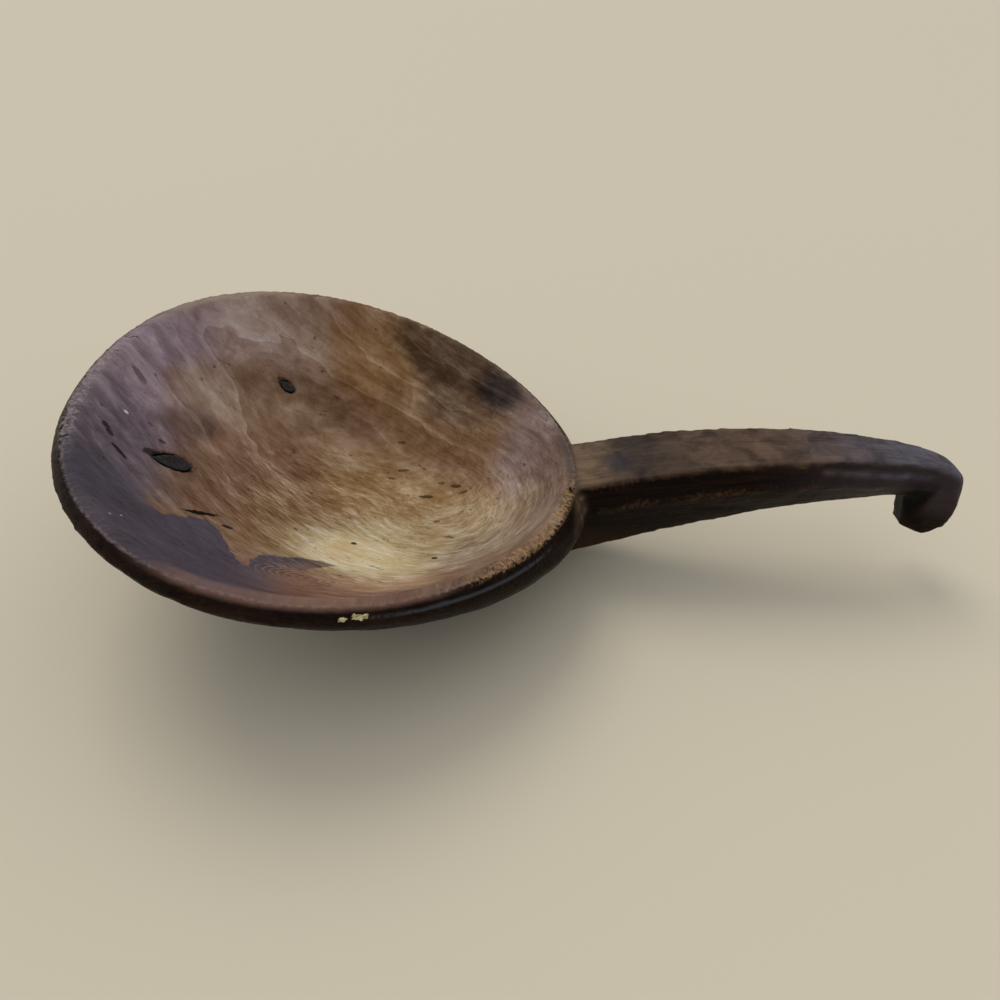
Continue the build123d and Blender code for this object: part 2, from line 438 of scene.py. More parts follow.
    def measure(self, piece: bpy.types.Object, rim: np.ndarray) -> None:
        """Write the marks that the finish reads.

        Args:
            piece: The carved mesh.
            rim: Its vertices before carving, in the rim frame.
        """
        out = normals_of(piece)
        upward = out @ self.frame.turn()[:, 2]
        angle = np.arctan2(rim[:, 1], rim[:, 0])
        inward = self.frame.crest_radius(angle) - np.hypot(rim[:, 0], rim[:, 1])
        hollowed = (upward > 0.02) & (inward > -0.3) & (rim[:, 2] < 0.8)
        edge = (np.abs(inward) < 1.5) & (rim[:, 2] > -1.6)
        side = np.where((hollowed | edge) & (rim[:, 0] < 79), 9.0, -9.0)
        write_mark(piece, Mark.SIDE, relaxed(piece, side[:, None], 1)[:, 0])
        write_mark(piece, Mark.STAIN, self.stain_depth(rim))
        blurred = relaxed(piece, points_of(piece), 18)
        ridge = ((points_of(piece) - blurred) * out).sum(1) / MM
        write_mark(piece, Mark.EDGE, relaxed(piece, ridge[:, None], 2)[:, 0])
        top = smoothstep(upward, 0.45, 0.75) * smoothstep(rim[:, 0], 72, 75)
        write_mark(piece, Mark.TOP, relaxed(piece, top[:, None], 2)[:, 0])

    def stain_depth(self, rim: np.ndarray) -> np.ndarray:
        """Distance into the stain from its edge, seen from above; negative outside it.

        Args:
            rim: Points in the rim frame.

        Returns:
            One distance per point.
        """
        corners = np.array(self.stain_edge, float)
        nearest = np.full(len(rim), 1e9)
        inside = np.zeros(len(rim), bool)
        x, y = rim[:, 0], rim[:, 1]
        for start, end in zip(corners, np.roll(corners, -1, axis=0)):
            run = end - start
            share = np.clip(((x - start[0]) * run[0] + (y - start[1]) * run[1]) / (run @ run), 0, 1)
            gap = np.hypot(x - start[0] - share * run[0], y - start[1] - share * run[1])
            nearest = np.minimum(nearest, gap)
            crosses = (start[1] > y) != (end[1] > y)
            level = start[0] + (y - start[1]) * run[0] / (run[1] if abs(run[1]) > 1e-9 else 1e-9)
            inside ^= crosses & (x < level)
        return np.clip(np.where(inside, nearest, -nearest), -15, 15)


@dataclass
class DeadKnot:
    """A dead knot: a plug of dark, checked wood that has shrunk in its pocket."""

    node: str
    name: str
    frame: RimFrame = field(default_factory=RimFrame)
    voxel: float = 0.22
    sunk: float = 0.1
    ragged: float = 0.3
    shrunk: float = 0.0

    def build(self, node: bpy.types.Object) -> bpy.types.Object:
        """Make the knot from its packed plug.

        Args:
            node: The CAD node of the knot.

        Returns:
            The finished mesh, without a material.
        """
        piece = merged_copy(node, self.name)
        applied(piece, "REMESH", mode="VOXEL", voxel_size=self.voxel * MM, use_smooth_shade=True)
        applied(piece, "SMOOTH", factor=0.5, iterations=3)
        out = normals_of(piece)
        metres = points_of(piece)
        up = out[out[:, 2] > 0.35].sum(0)
        up /= np.linalg.norm(up)
        face = smoothstep(out @ up, 0.3, 0.8)
        cut = np.zeros(len(out))
        for place, spot in enumerate(metres / MM):
            p = Vector(spot)
            splits = abs(noise.noise(Vector((p.x / 2.6, p.y / 0.9, p.z / 2.6))))
            pits = 0.5 + 0.5 * noise.noise(p / 1.1)
            cut[place] = self.ragged * (0.6 * pits + max(0.0, 0.35 - splits) * 1.6)
        sink = self.sunk + cut
        moved = metres - out * (self.shrunk * MM) - up * (face * sink * MM)[:, None]
        put_points(piece, moved)
        only(piece)
        bpy.ops.object.shade_smooth()
        return piece


@dataclass(frozen=True)
class Flake:
    """One flake of old paint: its middle on the wall, its half sizes and its seed."""

    reach: float
    drop: float
    half_length: float
    half_height: float
    seed: float


@dataclass
class PaintFleck:
    """Flakes of cream paint that something once left on the bowl's outer wall."""

    frame: RimFrame = field(default_factory=RimFrame)
    thickness: float = 0.25
    cells: int = 26
    flakes: tuple = (
        Flake(12.9, -2.3, 1.2, 0.55, 2.0),
        Flake(16.6, -1.9, 2.3, 0.85, 7.0),
    )

    def build(self, wood: bpy.types.Object) -> bpy.types.Object:
        """Lay the flakes on the carved wall.

        Args:
            wood: The carved paddle.

        Returns:
            The finished mesh, without a material.
        """
        tree = BVHTree.FromObject(wood, bpy.context.evaluated_depsgraph_get())
        made = [self.flake(tree, flake) for flake in self.flakes]
        only(made[0])
        for piece in made:
            piece.select_set(True)
        bpy.ops.object.join()
        piece = bpy.context.object
        piece.name = piece.data.name = "paint_fleck"
        applied(piece, "SOLIDIFY", thickness=self.thickness * MM, offset=0.6)
        applied(piece, "SUBSURF", levels=1, render_levels=1)
        only(piece)
        bpy.ops.object.shade_smooth()
        return piece

    def flake(self, tree: BVHTree, flake: Flake) -> bpy.types.Object:
        """Cut one flake from a grid and press it on the wall.

        Args:
            tree: The carved wood's surface.
            flake: The flake's place and size.

        Returns:
            The flake, one sheet thick.
        """
        bpy.ops.object.select_all(action="DESELECT")
        bpy.ops.mesh.primitive_grid_add(x_subdivisions=self.cells, y_subdivisions=self.cells // 2, size=2)
        piece = bpy.context.object
        across = self.frame.turn() @ np.array([0.0, 1.0, 0.0])
        doomed = []
        for vertex in piece.data.vertices:
            u, v = vertex.co.x, vertex.co.y
            edge = 0.35 * noise.noise(Vector((2.3 * u, 2.3 * v, flake.seed)))
            doomed.append(math.hypot(u, v) > 0.86 + 1.4 * edge)
            start = (flake.reach + u * flake.half_length, -110.0, flake.drop + v * flake.half_height)
            origin = Vector(self.frame.to_row(np.array(start)))
            hit = tree.ray_cast(origin, Vector(across))[0]
            vertex.co = hit if hit is not None else origin
        bpy.ops.object.mode_set(mode="EDIT")
        bpy.ops.mesh.select_all(action="DESELECT")
        bpy.ops.object.mode_set(mode="OBJECT")
        for vertex, gone in zip(piece.data.vertices, doomed):
            vertex.select = gone
        bpy.ops.object.mode_set(mode="EDIT")
        bpy.ops.mesh.select_mode(type="VERT")
        bpy.ops.mesh.delete(type="VERT")
        bpy.ops.object.mode_set(mode="OBJECT")
        return piece


# Finishes

@dataclass(frozen=True)
class Patch:
    """A cloud-edged patch of colour, seen from above the bowl."""

    x: float
    y: float
    along: float
    across: float
    turn: float
    colour: str
    strength: float
    soft: float = 0.6
    ragged: float = 0.5


@dataclass(frozen=True)
class Crack:
    """A dark hairline crack between two places, seen from above."""

    start: tuple[float, float]
    end: tuple[float, float]
    width: float


@dataclass(frozen=True)
class WornFruitwood:
    """Fruitwood, oiled by butter and hands for a century: satin, dark outside and rubbed pale inside.

    The hollow cuts the growth rings into nested bows, which give its streaks and its fine scratches their
    run. It is rubbed to a pale tan at its floor, with a purple-black stain with a sharp edge at the front
    and darker clouds up the walls. Outside, the fibres run along the handle under a near-black patina.
    """

    frame: RimFrame = field(default_factory=RimFrame)
    pith: tuple[float, float, float] = (0.0, -19.7, 84.4)
    pith_turn: tuple[float, float, float] = (0.0, -0.196, 1.145)
    pith_reach: float = 100.0
    ring_gap: float = 3.6
    figure_gap: float = 7.0
    base: str = "#86684f"
    stain: str = "#534c56"
    stain_warm: str = "#7d5d50"
    eye_line: str = "#b08d6c"
    lip_pale: str = "#a59a94"
    lip_ochre: str = "#a98355"
    # rubbed wear and a painted highlight along the crest
    crest_wear_and_highlight: str = "#8f7768"
    lip_grime: float = 0.84
    wall: str = "#100906"
    wall_red: str = "#33180c"
    # painted highlight along the outer wall's ridge
    ridge_highlight: str = "#4f5258"
    hook_shade: str = "#0a0808"
    underside: str = "#4a3322"
    wall_ochre: str = "#57452f"
    # painted sheen on the handle's upper flanks towards the hook
    flank_sheen: str = "#3a3033"
    top_neck: str = "#66523f"
    top_root: str = "#3f332b"
    top: str = "#594536"
    # greyer wood and a painted cold sheen on the handle's top towards the hook
    top_grey_and_sheen: str = "#544f55"
    rubbed: str = "#5d4430"
    pit: str = "#120d0c"
    patches: tuple = (
        Patch(-40, 54, 26, 24, 40, "#a68d82", 0.85, 0.9, 0.6),
        Patch(-19, 64, 24, 14, 0, "#967a66", 0.7, 0.9, 0.8),
        Patch(14, 60, 26, 16, -15, "#98764f", 0.8, 0.9, 0.8),
        # partly painted sheen: the left wall's purple-grey is partly its own colour and partly a painted cold gleam
        Patch(-58, 8, 17, 40, 0, "#937f86", 0.95, 0.9, 0.4),
        Patch(-58, -26, 17, 22, 25, "#685c63", 0.9, 0.9, 0.5),
        Patch(-40, 12, 13, 18, 20, "#a38470", 0.7, 0.9, 0.8),
        Patch(-24, 28, 18, 20, 20, "#876a50", 0.7, 0.9, 0.8),
        Patch(2, 32, 25, 15, -30, "#6d513a", 0.85, 0.9, 0.8),
        Patch(32, 38, 24, 13, -20, "#7c5f42", 0.8, 0.9, 0.8),
        Patch(30, 61, 22, 7, -28, "#4e3b2c", 0.75, 0.9, 0.8),
        Patch(38, 52, 20, 11, -42, "#5c4736", 0.75, 0.9, 0.7),
        Patch(52.5, 43, 10.5, 4.6, -48, "#3f3632", 0.92, 0.9, 0.5),
        Patch(-44, 4, 11, 6, 60, "#5d483d", 0.6, 0.9, 0.6),
        Patch(-44, 20, 9, 9, 0, "#a18974", 0.55, 0.9, 0.6),
        Patch(66, 14, 12, 30, 0, "#87716a", 0.85, 0.9, 0.5),
        Patch(65, -16, 12, 24, -15, "#806a5d", 0.85, 0.9, 0.5),
        Patch(-30, -16, 16, 14, 30, "#7f614d", 0.8, 0.9, 0.7),
        Patch(-10, -18, 16, 18, 10, "#866848", 0.7, 0.9, 0.7),
        Patch(16, 16, 22, 14, -10, "#977856", 0.7, 0.9, 0.7),
        Patch(30, 0, 30, 17, -10, "#a68a63", 0.85, 0.9, 0.6),
        Patch(26, -25, 33, 18, 6, "#bda983", 0.92, 0.8, 0.5),
        Patch(12, -26, 16, 9, -10, "#d8c59e", 0.85, 0.9, 0.6),
        Patch(44, -8, 16, 14, 0, "#ab9676", 0.6, 0.9, 0.8),
        Patch(50, -30, 14, 18, -25, "#95816d", 0.75, 0.9, 0.6),
        Patch(40, -46, 26, 11, 22, "#8e7360", 0.75, 0.9, 0.6),
        Patch(4, -56, 30, 15, 4, "#7d5b4b", 0.92, 0.9, 0.4),
        Patch(34, -58, 24, 9, 28, "#7a6252", 0.8, 0.9, 0.5),
        Patch(22, -43, 13, 7, 5, "#bc9d79", 0.6, 0.9, 0.6),
    )
    gouges: tuple = (
        Patch(32.3, 8.8, 2.2, 0.7, 5, "#20150f", 0.8, 0.6, 1.0),
        Patch(41.6, 13.6, 1.5, 0.6, -15, "#20150f", 0.7, 0.7, 1.2),
        Patch(44.2, 10.4, 1.2, 0.6, 20, "#2a1c14", 0.6, 0.7, 1.2),
        Patch(37.0, 15.4, 0.9, 0.5, 0, "#2a1c14", 0.6, 0.7, 1.2),
        Patch(36.5, -3.6, 1.0, 0.5, 10, "#2c1f17", 0.6, 0.6, 0.9),
        Patch(23.4, 20.6, 1.8, 0.5, 10, "#2c1f17", 0.7, 0.6, 1.0),
        Patch(21.1, 32.9, 1.2, 0.5, 0, "#2c1f17", 0.6, 0.6, 1.0),
        Patch(19.9, 16.2, 1.1, 0.4, 0, "#2c1f17", 0.6, 0.6, 1.0),
        Patch(11.7, -19.8, 0.8, 0.6, 0, "#1d1411", 0.9, 0.4, 0.2),
        Patch(36.2, -25.0, 0.8, 0.7, 0, "#2c1f17", 0.9, 0.4, 0.2),
        Patch(-58.8, -20.4, 1.1, 0.8, -40, "#1f171a", 0.8, 0.5, 0.6),
        Patch(-57.3, -22.0, 1.2, 0.7, -40, "#1f171a", 0.8, 0.5, 0.6),
        Patch(-53.4, -26.4, 2.4, 0.6, -28, "#1a1315", 0.9, 0.5, 0.9),
        Patch(-47.4, -10.9, 0.9, 0.6, 20, "#2c201f", 0.7, 0.5, 0.5),
        Patch(-23.4, -31.4, 1.4, 0.6, 10, "#151012", 0.9, 0.5, 0.7),
        Patch(-59.6, 7.3, 2.4, 1.0, -30, "#3b2e30", 0.6, 0.9, 0.9),
        # painted shade: the notch where the rim meets the handle is painted near black
        Patch(72.4, -13.4, 1.3, 0.9, -60, "#0d0908", 0.95, 0.5, 0.5),
        Patch(-48.0, -18.2, 2.1, 1.1, 40, "#2a2423", 0.85, 0.7, 0.9),
        Patch(-43.2, -16.0, 5.4, 2.5, 30, "#2b2726", 0.85, 0.6, 0.9),
        Patch(-22.2, 42.2, 2.9, 1.8, -18, "#2b2726", 0.85, 0.6, 0.9),
        Patch(86, -1.8, 5.0, 3.4, -60, "#2e2c33", 0.6, 0.9, 0.8),
    )
    bright: tuple = (
        Patch(-57.5, -9.9, 0.6, 0.5, 0, "#d8d0c8", 0.95, 0.4, 0.2),
        Patch(-44.3, -56.6, 0.35, 0.3, 0, "#b8b0b0", 0.8, 0.5, 0.2),
        Patch(-42.8, -54.1, 0.35, 0.3, 0, "#b8b0b0", 0.8, 0.5, 0.2),
    )
    cracks: tuple = (
        Crack((-36.0, -34.7), (-25.6, -27.2), 0.85),
        Crack((-67.0, -34.7), (-61.0, -33.6), 0.34),
        Crack((-68.5, 17.8), (-63.5, 20.3), 0.34),
    )

    def patch_mask(
        self, tree: bpy.types.NodeTree, place: bpy.types.NodeSocket, cloud: bpy.types.NodeSocket, patch: Patch
    ) -> bpy.types.NodeSocket:
        """Add the nodes that say how far a point lies in a patch.

        Args:
            tree: The material's node tree.
            place: Rim frame coordinates.
            cloud: A cloud pattern from 0 to 1 that frays the patch's edge.
            patch: The patch.

        Returns:
            The mask, from 0 to the patch's strength.
        """
        unit = add_node(
            tree,
            "ShaderNodeMapping",
            {
                "Vector": place,
                "Location": (patch.x, patch.y, 0.0),
                "Rotation": (0.0, 0.0, math.radians(patch.turn)),
                "Scale": (patch.along, patch.across, 1e5),
            },
            vector_type="TEXTURE",
        )
        far = add_node(tree, "ShaderNodeVectorMath", {0: unit.outputs[0]}, operation="LENGTH")
        frayed = add_node(
            tree, "ShaderNodeMath", {0: cloud, 1: patch.ragged * 1.6, 2: far.outputs["Value"]}, operation="MULTIPLY_ADD"
        )
        middle = 1 + patch.ragged * 0.8
        ramp = {
            "Value": frayed.outputs[0],
            "From Min": middle + patch.soft / 2,
            "From Max": middle - patch.soft / 2,
            "To Max": patch.strength,
        }
        return add_node(tree, "ShaderNodeMapRange", ramp, interpolation_type="SMOOTHSTEP").outputs[0]

    def crack_mask(
        self, tree: bpy.types.NodeTree, place: bpy.types.NodeSocket, cloud: bpy.types.NodeSocket, crack: Crack
    ) -> bpy.types.NodeSocket:
        """Add the nodes that draw a hairline crack.

        Args:
            tree: The material's node tree.
            place: Rim frame coordinates.
            cloud: A cloud pattern that makes the crack wander.
            crack: The crack.

        Returns:
            The mask, 1 in the crack.
        """
        run = np.array(crack.end) - np.array(crack.start)
        half = float(np.hypot(*run)) / 2
        middle = (np.array(crack.start) + np.array(crack.end)) / 2
        along = add_node(
            tree,
            "ShaderNodeMapping",
            {
                "Vector": place,
                "Location": (middle[0], middle[1], 0.0),
                "Rotation": (0.0, 0.0, math.atan2(run[1], run[0])),
            },
            vector_type="TEXTURE",
        )
        parts = add_node(tree, "ShaderNodeSeparateXYZ", {0: along.outputs[0]})
        wander = add_node(
            tree, "ShaderNodeMath", {0: cloud, 1: 2.4, 2: parts.outputs["Y"]}, operation="MULTIPLY_ADD"
        )
        offset = add_node(tree, "ShaderNodeMath", {0: wander.outputs[0], 1: 1.2}, operation="SUBTRACT")
        aside = add_node(tree, "ShaderNodeMath", {0: offset.outputs[0]}, operation="ABSOLUTE")
        length = add_node(tree, "ShaderNodeMath", {0: parts.outputs["X"]}, operation="ABSOLUTE")
        taper = add_node(
            tree,
            "ShaderNodeMapRange",
            {"Value": length.outputs[0], "From Min": half * 0.2, "From Max": half, "To Min": crack.width, "To Max": 0.0},
        )
        inside = add_node(
            tree, "ShaderNodeMath", {0: taper.outputs[0], 1: aside.outputs[0]}, operation="SUBTRACT"
        )
        ramp = {"Value": inside.outputs[0], "From Min": -0.02, "From Max": 0.16}
        return add_node(tree, "ShaderNodeMapRange", ramp, interpolation_type="SMOOTHSTEP").outputs[0]

    def bow_place(self, tree: bpy.types.NodeTree, place: bpy.types.NodeSocket) -> bpy.types.NodeSocket:
        """Add the nodes that unroll the growth rings.

        Args:
            tree: The material's node tree.
            place: Rim frame coordinates.

        Returns:
            Millimetres across the rings, along the pith and round it.
        """
        turned = add_node(
            tree,
            "ShaderNodeMapping",
            {"Vector": place, "Location": self.pith, "Rotation": self.pith_turn},
            vector_type="TEXTURE",
        )
        parts = add_node(tree, "ShaderNodeSeparateXYZ", {0: turned.outputs[0]})
        square = add_node(
            tree, "ShaderNodeMath", {0: parts.outputs["Y"], 1: parts.outputs["Y"]}, operation="MULTIPLY"
        )
        both = add_node(
            tree,
            "ShaderNodeMath",
            {0: parts.outputs["Z"], 1: parts.outputs["Z"], 2: square.outputs[0]},
            operation="MULTIPLY_ADD",
        )
        far = add_node(tree, "ShaderNodeMath", {0: both.outputs[0]}, operation="SQRT")
        below = add_node(tree, "ShaderNodeMath", {0: parts.outputs["Z"], 1: -1.0}, operation="MULTIPLY")
        angle = add_node(
            tree, "ShaderNodeMath", {0: parts.outputs["Y"], 1: below.outputs[0]}, operation="ARCTAN2"
        )
        around = add_node(
            tree, "ShaderNodeMath", {0: angle.outputs[0], 1: self.pith_reach}, operation="MULTIPLY"
        )
        return add_node(
            tree,
            "ShaderNodeCombineXYZ",
            {"X": far.outputs[0], "Y": parts.outputs["X"], "Z": around.outputs[0]},
        ).outputs[0]

    def hollow(
        self,
        tree: bpy.types.NodeTree,
        place: bpy.types.NodeSocket,
        cloud: bpy.types.NodeSocket,
        crumbs: bpy.types.NodeSocket,
        stain: bpy.types.NodeSocket,
    ) -> tuple[bpy.types.NodeSocket, bpy.types.NodeSocket]:
        """Add the hollow's colour: clouds, streaks, growth rings, scratches and the stain.

        Args:
            tree: The material's node tree.
            place: Rim frame coordinates.
            cloud: Clouds some 9 mm across.
            crumbs: Crumbs about 1 mm across.
            stain: Distance into the stain.

        Returns:
            The colour, and the height of the scratches.
        """
        bow = self.bow_place(tree, place)
        # Broad streaks up the walls, 6 to 8 mm wide
        broad_place = add_node(tree, "ShaderNodeMapping", {"Vector": bow, "Scale": (0.17, 0.04, 0.04)})
        broad = add_node(
            tree,
            "ShaderNodeTexNoise",
            {"Vector": broad_place.outputs[0], "Scale": 1.0, "Detail": 4.0, "Roughness": 0.55, "Distortion": 0.7},
        ).outputs["Fac"]
        # Fine streaks, 1 to 2 mm wide
        fine_place = add_node(tree, "ShaderNodeMapping", {"Vector": bow, "Scale": (0.65, 0.05, 0.05)})
        fine = add_node(
            tree,
            "ShaderNodeTexNoise",
            {"Vector": fine_place.outputs[0], "Scale": 1.0, "Detail": 4.0, "Roughness": 0.6, "Distortion": 0.5},
        ).outputs["Fac"]
        # Sharper-edged blotches, 5 mm wide
        blotch_place = add_node(tree, "ShaderNodeMapping", {"Vector": bow, "Scale": (0.24, 0.1, 0.1)})
        blotches = add_node(
            tree,
            "ShaderNodeTexNoise",
            {"Vector": blotch_place.outputs[0], "Scale": 1.0, "Detail": 5.0, "Roughness": 0.5, "Distortion": 1.2},
        ).outputs["Fac"]
        # Scratches left by scraping, in two runs that cross, drawn 0.3 mm wide so that they show
        runs = []
        for slant, width in ((0.0, 3.4), (0.24, 2.6)):
            scratch_place = add_node(
                tree, "ShaderNodeMapping", {"Vector": bow, "Rotation": (0.0, slant, -slant)}
            )
            scratch_place = add_node(
                tree, "ShaderNodeMapping", {"Vector": scratch_place.outputs[0], "Scale": (width, 0.16, 0.16)}
            )
            runs.append(
                add_node(
                    tree,
                    "ShaderNodeTexNoise",
                    {"Vector": scratch_place.outputs[0], "Scale": 1.0, "Detail": 4.0, "Roughness": 0.75},
                ).outputs["Fac"]
            )
        scratches = add_node(tree, "ShaderNodeMixRGB", {"Fac": 0.4, "Color1": runs[0], "Color2": runs[1]}).outputs[0]
        # A few long pale scratches across the grain, 0.3 mm wide and 30 mm long
        long_lines = None
        for turn in (0.5, -0.75):
            line_place = add_node(tree, "ShaderNodeMapping", {"Vector": place, "Rotation": (0.0, 0.0, turn)})
            line_place = add_node(
                tree, "ShaderNodeMapping", {"Vector": line_place.outputs[0], "Scale": (0.035, 1.5, 1.5)}
            )
            lines = add_node(
                tree,
                "ShaderNodeTexNoise",
                {"Vector": line_place.outputs[0], "Scale": 1.0, "Detail": 3.0, "Roughness": 0.7, "Distortion": 0.3},
            ).outputs["Fac"]
            lines = add_node(
                tree, "ShaderNodeMapRange", {"Value": lines, "From Min": 0.62, "From Max": 0.70, "To Max": 0.26}
            ).outputs[0]
            long_lines = lines if long_lines is None else add_node(
                tree, "ShaderNodeMath", {0: long_lines, 1: lines}, operation="ADD"
            ).outputs[0]
        rings = add_node(
            tree,
            "ShaderNodeTexWave",
            {
                "Vector": bow,
                "Scale": 2 * math.pi / (20 * self.ring_gap),
                "Distortion": 14.0,
                "Detail": 3.0,
                "Detail Scale": 0.16,
                "Detail Roughness": 0.6,
            },
            wave_type="BANDS",
            bands_direction="X",
            wave_profile="SAW",
        ).outputs["Fac"]
        # Curled figure: every 7 mm a thin pale line with shade behind it
        figure = add_node(
            tree,
            "ShaderNodeTexWave",
            {
                "Vector": bow,
                "Scale": 2 * math.pi / (20 * self.figure_gap),
                "Distortion": 6.5,
                "Detail": 3.0,
                "Detail Scale": 0.55,
                "Detail Roughness": 0.5,
            },
            wave_type="BANDS",
            bands_direction="X",
            wave_profile="SAW",
        ).outputs["Fac"]
        pale_line = add_node(
            tree,
            "ShaderNodeMapRange",
            {"Value": figure, "From Min": 0.86, "From Max": 0.97, "To Max": 0.16},
            interpolation_type="SMOOTHSTEP",
        ).outputs[0]
        shade = add_node(
            tree, "ShaderNodeMapRange", {"Value": figure, "From Max": 0.8, "To Min": -0.15, "To Max": 0.06}
        ).outputs[0]
        figure = add_node(tree, "ShaderNodeMath", {0: pale_line, 1: shade}, operation="ADD").outputs[0]
        curled = self.patch_mask(tree, place, cloud, Patch(-10, 34, 62, 46, 0, self.base, 1.0, 0.9, 0.9))
        figure = add_node(tree, "ShaderNodeMath", {0: figure, 1: curled}, operation="MULTIPLY").outputs[0]
        # Pores, drawn 3 mm long
        pore_place = add_node(tree, "ShaderNodeMapping", {"Vector": bow, "Scale": (1.3, 0.3, 0.3)})
        pores = add_node(
            tree, "ShaderNodeTexNoise", {"Vector": pore_place.outputs[0], "Scale": 1.0, "Detail": 2.0, "Roughness": 0.6}
        ).outputs["Fac"]

        colour = add_node(
            tree, "ShaderNodeMixRGB", {"Fac": 0.0, "Color1": linear(self.base), "Color2": linear(self.base)}
        ).outputs[0]
        for patch in self.patches:
            mask = self.patch_mask(tree, place, cloud, patch)
            colour = add_node(
                tree, "ShaderNodeMixRGB", {"Fac": mask, "Color1": colour, "Color2": linear(patch.colour)}
            ).outputs[0]

        # The stain: slate purple, warmer where it runs out to the right, with a crisp frayed edge
        frayed = add_node(tree, "ShaderNodeMath", {0: cloud, 1: 5.0, 2: stain}, operation="MULTIPLY_ADD")
        frayed = add_node(
            tree, "ShaderNodeMath", {0: crumbs, 1: 1.6, 2: frayed.outputs[0]}, operation="MULTIPLY_ADD"
        )
        parts = add_node(tree, "ShaderNodeSeparateXYZ", {0: place})
        blur = add_node(
            tree,
            "ShaderNodeMapRange",
            {"Value": parts.outputs["X"], "From Min": -38.0, "From Max": -48.0, "To Min": 0.3, "To Max": 6.0},
            interpolation_type="SMOOTHSTEP",
        ).outputs[0]
        low = add_node(tree, "ShaderNodeMath", {0: 3.4, 1: blur}, operation="SUBTRACT").outputs[0]
        high = add_node(tree, "ShaderNodeMath", {0: 3.4, 1: blur}, operation="ADD").outputs[0]
        stained = add_node(
            tree,
            "ShaderNodeMapRange",
            {"Value": frayed.outputs[0], "From Min": low, "From Max": high, "To Max": 0.94},
            interpolation_type="SMOOTHSTEP",
        ).outputs[0]
        gone = self.patch_mask(tree, place, cloud, Patch(22, -64, 26, 26, 0, self.stain_warm, 1.0, 1.0, 0.5))
        stained = add_node(
            tree, "ShaderNodeMath", {0: stained, 1: gone}, operation="SUBTRACT", use_clamp=True
        ).outputs[0]
        warm = self.patch_mask(tree, place, cloud, Patch(11, -50, 18, 14, 0, self.stain_warm, 0.95, 0.9, 0.4))
        tint = add_node(
            tree,
            "ShaderNodeMixRGB",
            {"Fac": warm, "Color1": linear(self.stain), "Color2": linear(self.stain_warm)},
        ).outputs[0]
        colour = add_node(
            tree, "ShaderNodeMixRGB", {"Fac": stained, "Color1": colour, "Color2": tint}
        ).outputs[0]

        # Grain turns round an eye at the stain's end
        eye_place = add_node(
            tree,
            "ShaderNodeMapping",
            {"Vector": place, "Location": (2.5, -45.5, -23.5), "Scale": (2.1, 1.0, 1.3), "Rotation": (0.0, 0.0, 0.1)},
            vector_type="TEXTURE",
        )
        eye_rings = add_node(
            tree,
            "ShaderNodeTexWave",
            {
                "Vector": eye_place.outputs[0],
                "Scale": 2 * math.pi / (20 * 0.95),
                "Distortion": 9.0,
                "Detail": 3.0,
                "Detail Scale": 0.25,
                "Detail Roughness": 0.6,
            },
            wave_type="RINGS",
            rings_direction="SPHERICAL",
        ).outputs["Fac"]
        eye = self.patch_mask(tree, place, cloud, Patch(4.5, -46.0, 17.0, 8.5, 5.0, self.eye_line, 0.6, 0.9, 0.8))
        eye_lines = add_node(
            tree,
            "ShaderNodeMapRange",
            {"Value": eye_rings, "From Min": 0.5, "From Max": 0.95, "To Max": 1.0},
        ).outputs[0]
        broken = add_node(
            tree, "ShaderNodeMapRange", {"Value": crumbs, "From Min": 0.38, "From Max": 0.56}
        ).outputs[0]
        eye_lines = add_node(tree, "ShaderNodeMath", {0: eye_lines, 1: broken}, operation="MULTIPLY").outputs[0]
        eye = add_node(tree, "ShaderNodeMath", {0: eye, 1: eye_lines}, operation="MULTIPLY").outputs[0]
        colour = add_node(
            tree, "ShaderNodeMixRGB", {"Fac": eye, "Color1": colour, "Color2": linear(self.eye_line)}
        ).outputs[0]

        # Tone: streaks and rings fade under the stain, and scratches stay
        calm = add_node(
            tree, "ShaderNodeMapRange", {"Value": stained, "From Max": 0.94, "To Min": 1.0, "To Max": 0.3}
        ).outputs[0]
        tone = figure
        for source, low, high, dark, light in (
            (broad, 0.38, 0.62, -0.16, 0.18),
            (blotches, 0.44, 0.56, -0.06, 0.07),
            (fine, 0.36, 0.64, -0.12, 0.12),
            (rings, 0.0, 1.0, -0.07, 0.07),
            (cloud, 0.36, 0.64, -0.12, 0.12),
        ):
            step = add_node(
                tree,
                "ShaderNodeMapRange",
                {"Value": source, "From Min": low, "From Max": high, "To Min": dark, "To Max": light},
            ).outputs[0]
            tone = add_node(tree, "ShaderNodeMath", {0: tone, 1: step}, operation="ADD").outputs[0]
        scratch = add_node(
            tree,
            "ShaderNodeMapRange",
            {"Value": scratches, "From Min": 0.4, "From Max": 0.6, "To Min": -0.46, "To Max": 0.40},
        ).outputs[0]
        worked = self.patch_mask(tree, place, cloud, Patch(18, -14, 54, 38, 0, self.base, 1.0, 0.9, 0.5))
        worked = add_node(tree, "ShaderNodeMath", {0: worked, 1: 0.28}, operation="MAXIMUM").outputs[0]
        scratch = add_node(tree, "ShaderNodeMath", {0: scratch, 1: long_lines}, operation="ADD").outputs[0]
        scratch = add_node(
            tree, "ShaderNodeMath", {0: scratch, 1: worked, 2: 1.0}, operation="MULTIPLY_ADD"
        ).outputs[0]
        tone = add_node(tree, "ShaderNodeMath", {0: tone, 1: calm, 2: scratch}, operation="MULTIPLY_ADD").outputs[0]
        # Dark strokes are browner than the wood around them and pale ones creamier, so the tone works as a power
        tone = add_node(
            tree,
            "ShaderNodeMapRange",
            {"Value": tone, "From Min": 0.4, "From Max": 1.6, "To Min": 1.5, "To Max": 0.6},
        ).outputs[0]
        colour = add_node(tree, "ShaderNodeGamma", {"Color": colour, "Gamma": tone}).outputs[0]
